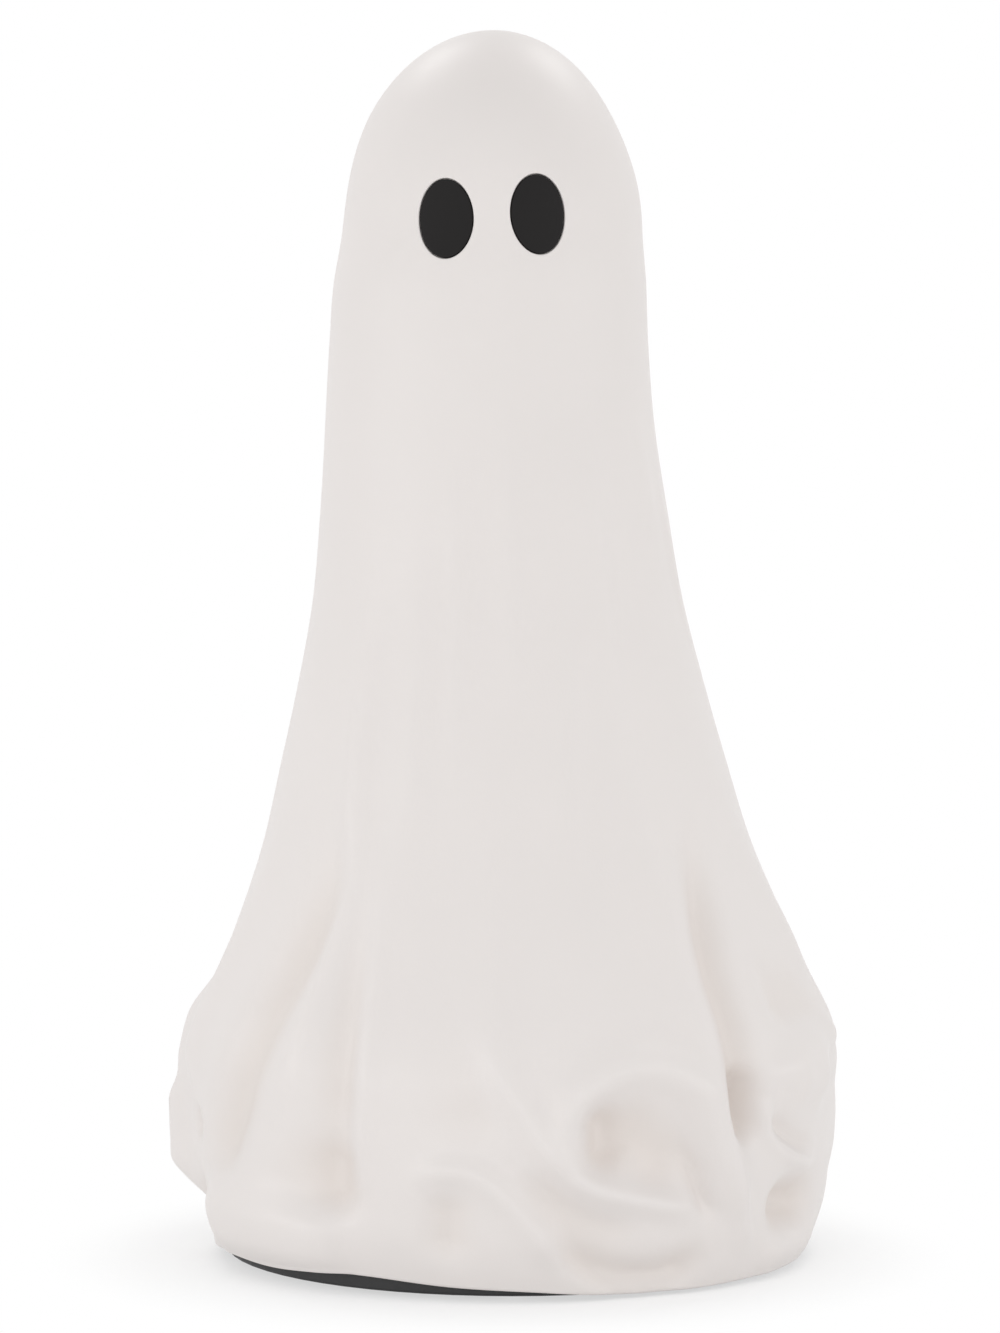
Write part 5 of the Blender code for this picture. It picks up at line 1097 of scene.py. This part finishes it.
def spring_line(foot, rise, middle):
    """Points of a conical spring along X, with a flat coil at each end: wide at its foot, on the contact
    plate, and narrow on the cell."""
    count = SPRING_TURNS * SPRING_STEPS
    for step in range(count + 1):
        share = step / count
        climb = min(max((share - SPRING_FLAT) / (1 - 2 * SPRING_FLAT), 0.0), 1.0)
        tuck = SPRING_TUCK * max(1 - share / SPRING_FLAT, 0.0)
        radius = SPRING_FOOT_RADIUS + (SPRING_TIP_RADIUS - SPRING_FOOT_RADIUS) * climb - tuck
        angle = 2 * math.pi * SPRING_TURNS * share
        y = middle[0] + radius * math.cos(angle)
        z = middle[1] + radius * math.sin(angle)
        yield foot + rise * climb, y, z


def spring(k):
    low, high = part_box(f"battery_spring_{k}")
    cell_low, cell_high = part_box(f"battery_cell_{k}")
    direction = 1 if low.x < cell_low.x else -1
    foot = low.x + SPRING_WIRE if direction > 0 else high.x - SPRING_WIRE
    rise = (high.x - low.x - 2 * SPRING_WIRE) * direction
    middle = ((cell_low.y + cell_high.y) / 2, (cell_low.z + cell_high.z) / 2)
    points = list(spring_line(foot, rise, middle))
    curve = bpy.data.curves.new(f"spring_{k}", "CURVE")
    curve.dimensions = "3D"
    curve.bevel_depth = SPRING_WIRE
    curve.bevel_resolution = 3
    curve.use_fill_caps = True
    spline = curve.splines.new("POLY")
    spline.points.add(len(points) - 1)
    for point, place in zip(spline.points, points):
        point.co = (*place, 1.0)
    wound = bpy.data.objects.new(f"spring_{k}", curve)
    bpy.context.scene.collection.objects.link(wound)
    bpy.context.view_layer.update()
    mesh = bpy.data.meshes.new_from_object(wound.evaluated_get(bpy.context.evaluated_depsgraph_get()))
    bpy.data.objects.remove(wound)
    settle_piece(f"wire_spring_{k}", mesh, "steel", "root", f"battery_spring_{k}", sharp=50)


class GHOST_OT_inside(bpy.types.Operator):
    """Build the cells and their springs, and finish the contacts, the switch and the lamp"""

    bl_idname = "ghost.inside"
    bl_label = "Inside"

    def execute(self, context):
        for k in (1, 2, 3):
            cell(k)
        for k in (1, 2, 3):
            spring(k)
        dress("steel", *[f"contact_plate_{k}" for k in (1, 2, 3, 4)])
        dress("steel", "switch_can", "switch_screw_1", "switch_screw_2")
        dress("steel", "post_screw_1", "post_screw_2", "board_screw_1", "board_screw_2")
        dress("board_brown", "switch_board")
        dress("board_green", "lamp_board")
        dress("lamp_plastic", "lamp_post")
        dress("cap_frosted", "lamp_cap")
        dress("led_resin", "led_1", "led_2", "led_3")
        dress("resistor_body", "led_resistor")
        dress("wire_red", "battery_wire_red", "switch_wire_red")
        dress("wire_black", "battery_wire_black")
        return {"FINISHED"}


def soft_light(name, place, target, size, power):
    light = bpy.data.lights.new(name, "AREA")
    light.shape = "RECTANGLE"
    light.size, light.size_y = size
    light.energy = power
    obj = bpy.data.objects.new(name, light)
    obj.location = place
    obj.rotation_euler = (Vector(target) - Vector(place)).to_track_quat("-Z", "Y").to_euler()
    bpy.context.scene.collection.objects.link(obj)
    return obj


def white_where_seen(tree, shader, share=None):
    """Mix a shader with plain white for rays that come straight from the camera, a mirror or glass."""
    path = tree.nodes.new("ShaderNodeLightPath")
    in_material = tree.nodes.get("Material Output") is not None
    white = tree.nodes.new("ShaderNodeEmission" if in_material else "ShaderNodeBackground")
    white.inputs["Color"].default_value = (1.0, 1.0, 1.0, 1.0)
    seen = path.outputs["Is Camera Ray"]
    for kind in ("Is Glossy Ray", "Is Transmission Ray"):
        either = tree.nodes.new("ShaderNodeMath")
        either.operation = "MAXIMUM"
        tree.links.new(seen, either.inputs[0])
        tree.links.new(path.outputs[kind], either.inputs[1])
        seen = either.outputs[0]
    if share is not None:
        part = tree.nodes.new("ShaderNodeMath")
        part.operation = "MULTIPLY"
        tree.links.new(seen, part.inputs[0])
        tree.links.new(share, part.inputs[1])
        seen = part.outputs[0]
    mix = tree.nodes.new("ShaderNodeMixShader")
    tree.links.new(seen, mix.inputs[0])
    tree.links.new(shader, mix.inputs[1])
    tree.links.new(white.outputs[0], mix.inputs[2])
    return mix.outputs[0]


def share_from_middle(tree):
    """How white the floor shows: less by the object, so that its shadow is seen, and wholly further out."""
    place = tree.nodes.new("ShaderNodeTexCoord").outputs["Object"]
    length = tree.nodes.new("ShaderNodeVectorMath")
    length.operation = "LENGTH"
    tree.links.new(place, length.inputs[0])
    ramp = tree.nodes.new("ShaderNodeMapRange")
    ramp.interpolation_type = "SMOOTHSTEP"
    ramp.inputs["From Min"].default_value, ramp.inputs["From Max"].default_value = SHADOW_REACH
    ramp.inputs["To Min"].default_value = SHADOW_WHITE
    ramp.inputs["To Max"].default_value = 1.0
    tree.links.new(length.outputs["Value"], ramp.inputs["Value"])
    return ramp.outputs[0]


class GHOST_OT_studio(bpy.types.Operator):
    """Set the pale floor, the soft lights and the camera"""

    bl_idname = "ghost.studio"
    bl_label = "Studio"

    def execute(self, context):
        scene = context.scene
        sizes = scene.ghost_sizes
        bm = bmesh.new()
        bmesh.ops.create_circle(bm, cap_ends=True, segments=96, radius=FLOOR_RADIUS)
        mesh = bpy.data.meshes.new("studio_floor")
        bm.to_mesh(mesh)
        bm.free()
        floor = bpy.data.objects.new("studio_floor", mesh)
        scene.collection.objects.link(floor)
        mesh.materials.append(self.floor_material())
        self.set_world(scene)
        for light in LIGHTS:
            soft_light(*light)
        camera = bpy.data.cameras.new("camera")
        camera.lens = sizes.lens
        placed = bpy.data.objects.new("camera", camera)
        placed.location = (0.0, -sizes.camera_distance, sizes.camera_height)
        placed.rotation_euler = (math.pi / 2, 0.0, 0.0)
        scene.collection.objects.link(placed)
        scene.camera = placed
        scene.view_settings.view_transform = "Standard"
        return {"FINISHED"}

    def floor_material(self):
        material = bpy.data.materials.new("studio_floor")
        material.use_nodes = True
        tree = material.node_tree
        shader = tree.nodes["Principled BSDF"]
        shader.inputs["Base Color"].default_value = (0.93, 0.93, 0.93, 1.0)
        shader.inputs["Roughness"].default_value = 0.8
        shader.inputs["Specular IOR Level"].default_value = 0.1
        output = tree.nodes["Material Output"]
        seen = white_where_seen(tree, shader.outputs[0], share_from_middle(tree))
        tree.links.new(seen, output.inputs["Surface"])
        return material

    def set_world(self, scene):
        world = bpy.data.worlds.new("studio_world")
        world.use_nodes = True
        scene.world = world
        tree = world.node_tree
        light = tree.nodes["Background"]
        light.inputs["Color"].default_value = (1.0, 1.0, 1.0, 1.0)
        light.inputs["Strength"].default_value = WORLD_STRENGTH
        output = tree.nodes["World Output"]
        tree.links.new(white_where_seen(tree, light.outputs[0]), output.inputs["Surface"])


OPERATORS = (GHOST_OT_body, GHOST_OT_eyes, GHOST_OT_base, GHOST_OT_inside, GHOST_OT_studio)


class GHOST_PT_panel(bpy.types.Panel):
    """Buttons for each group of pieces"""

    bl_label = "Ghost figure"
    bl_idname = "GHOST_PT_panel"
    bl_space_type = "VIEW_3D"
    bl_region_type = "UI"
    bl_category = "Ghost"

    def draw(self, context):
        for operator in OPERATORS:
            self.layout.operator(operator.bl_idname)


CLASSES = (GhostSizes, GhostColours, *OPERATORS, GHOST_PT_panel)


def register():
    for kind in CLASSES:
        bpy.utils.register_class(kind)
    bpy.types.Scene.ghost_sizes = PointerProperty(type=GhostSizes)
    bpy.types.Scene.ghost_colours = PointerProperty(type=GhostColours)


def unregister():
    del bpy.types.Scene.ghost_colours
    del bpy.types.Scene.ghost_sizes
    for kind in reversed(CLASSES):
        bpy.utils.unregister_class(kind)


def main():
    register()
    bpy.ops.ghost.body()
    bpy.ops.ghost.eyes()
    bpy.ops.ghost.base()
    bpy.ops.ghost.inside()
    bpy.ops.ghost.studio()


if __name__ == "__main__":
    main()
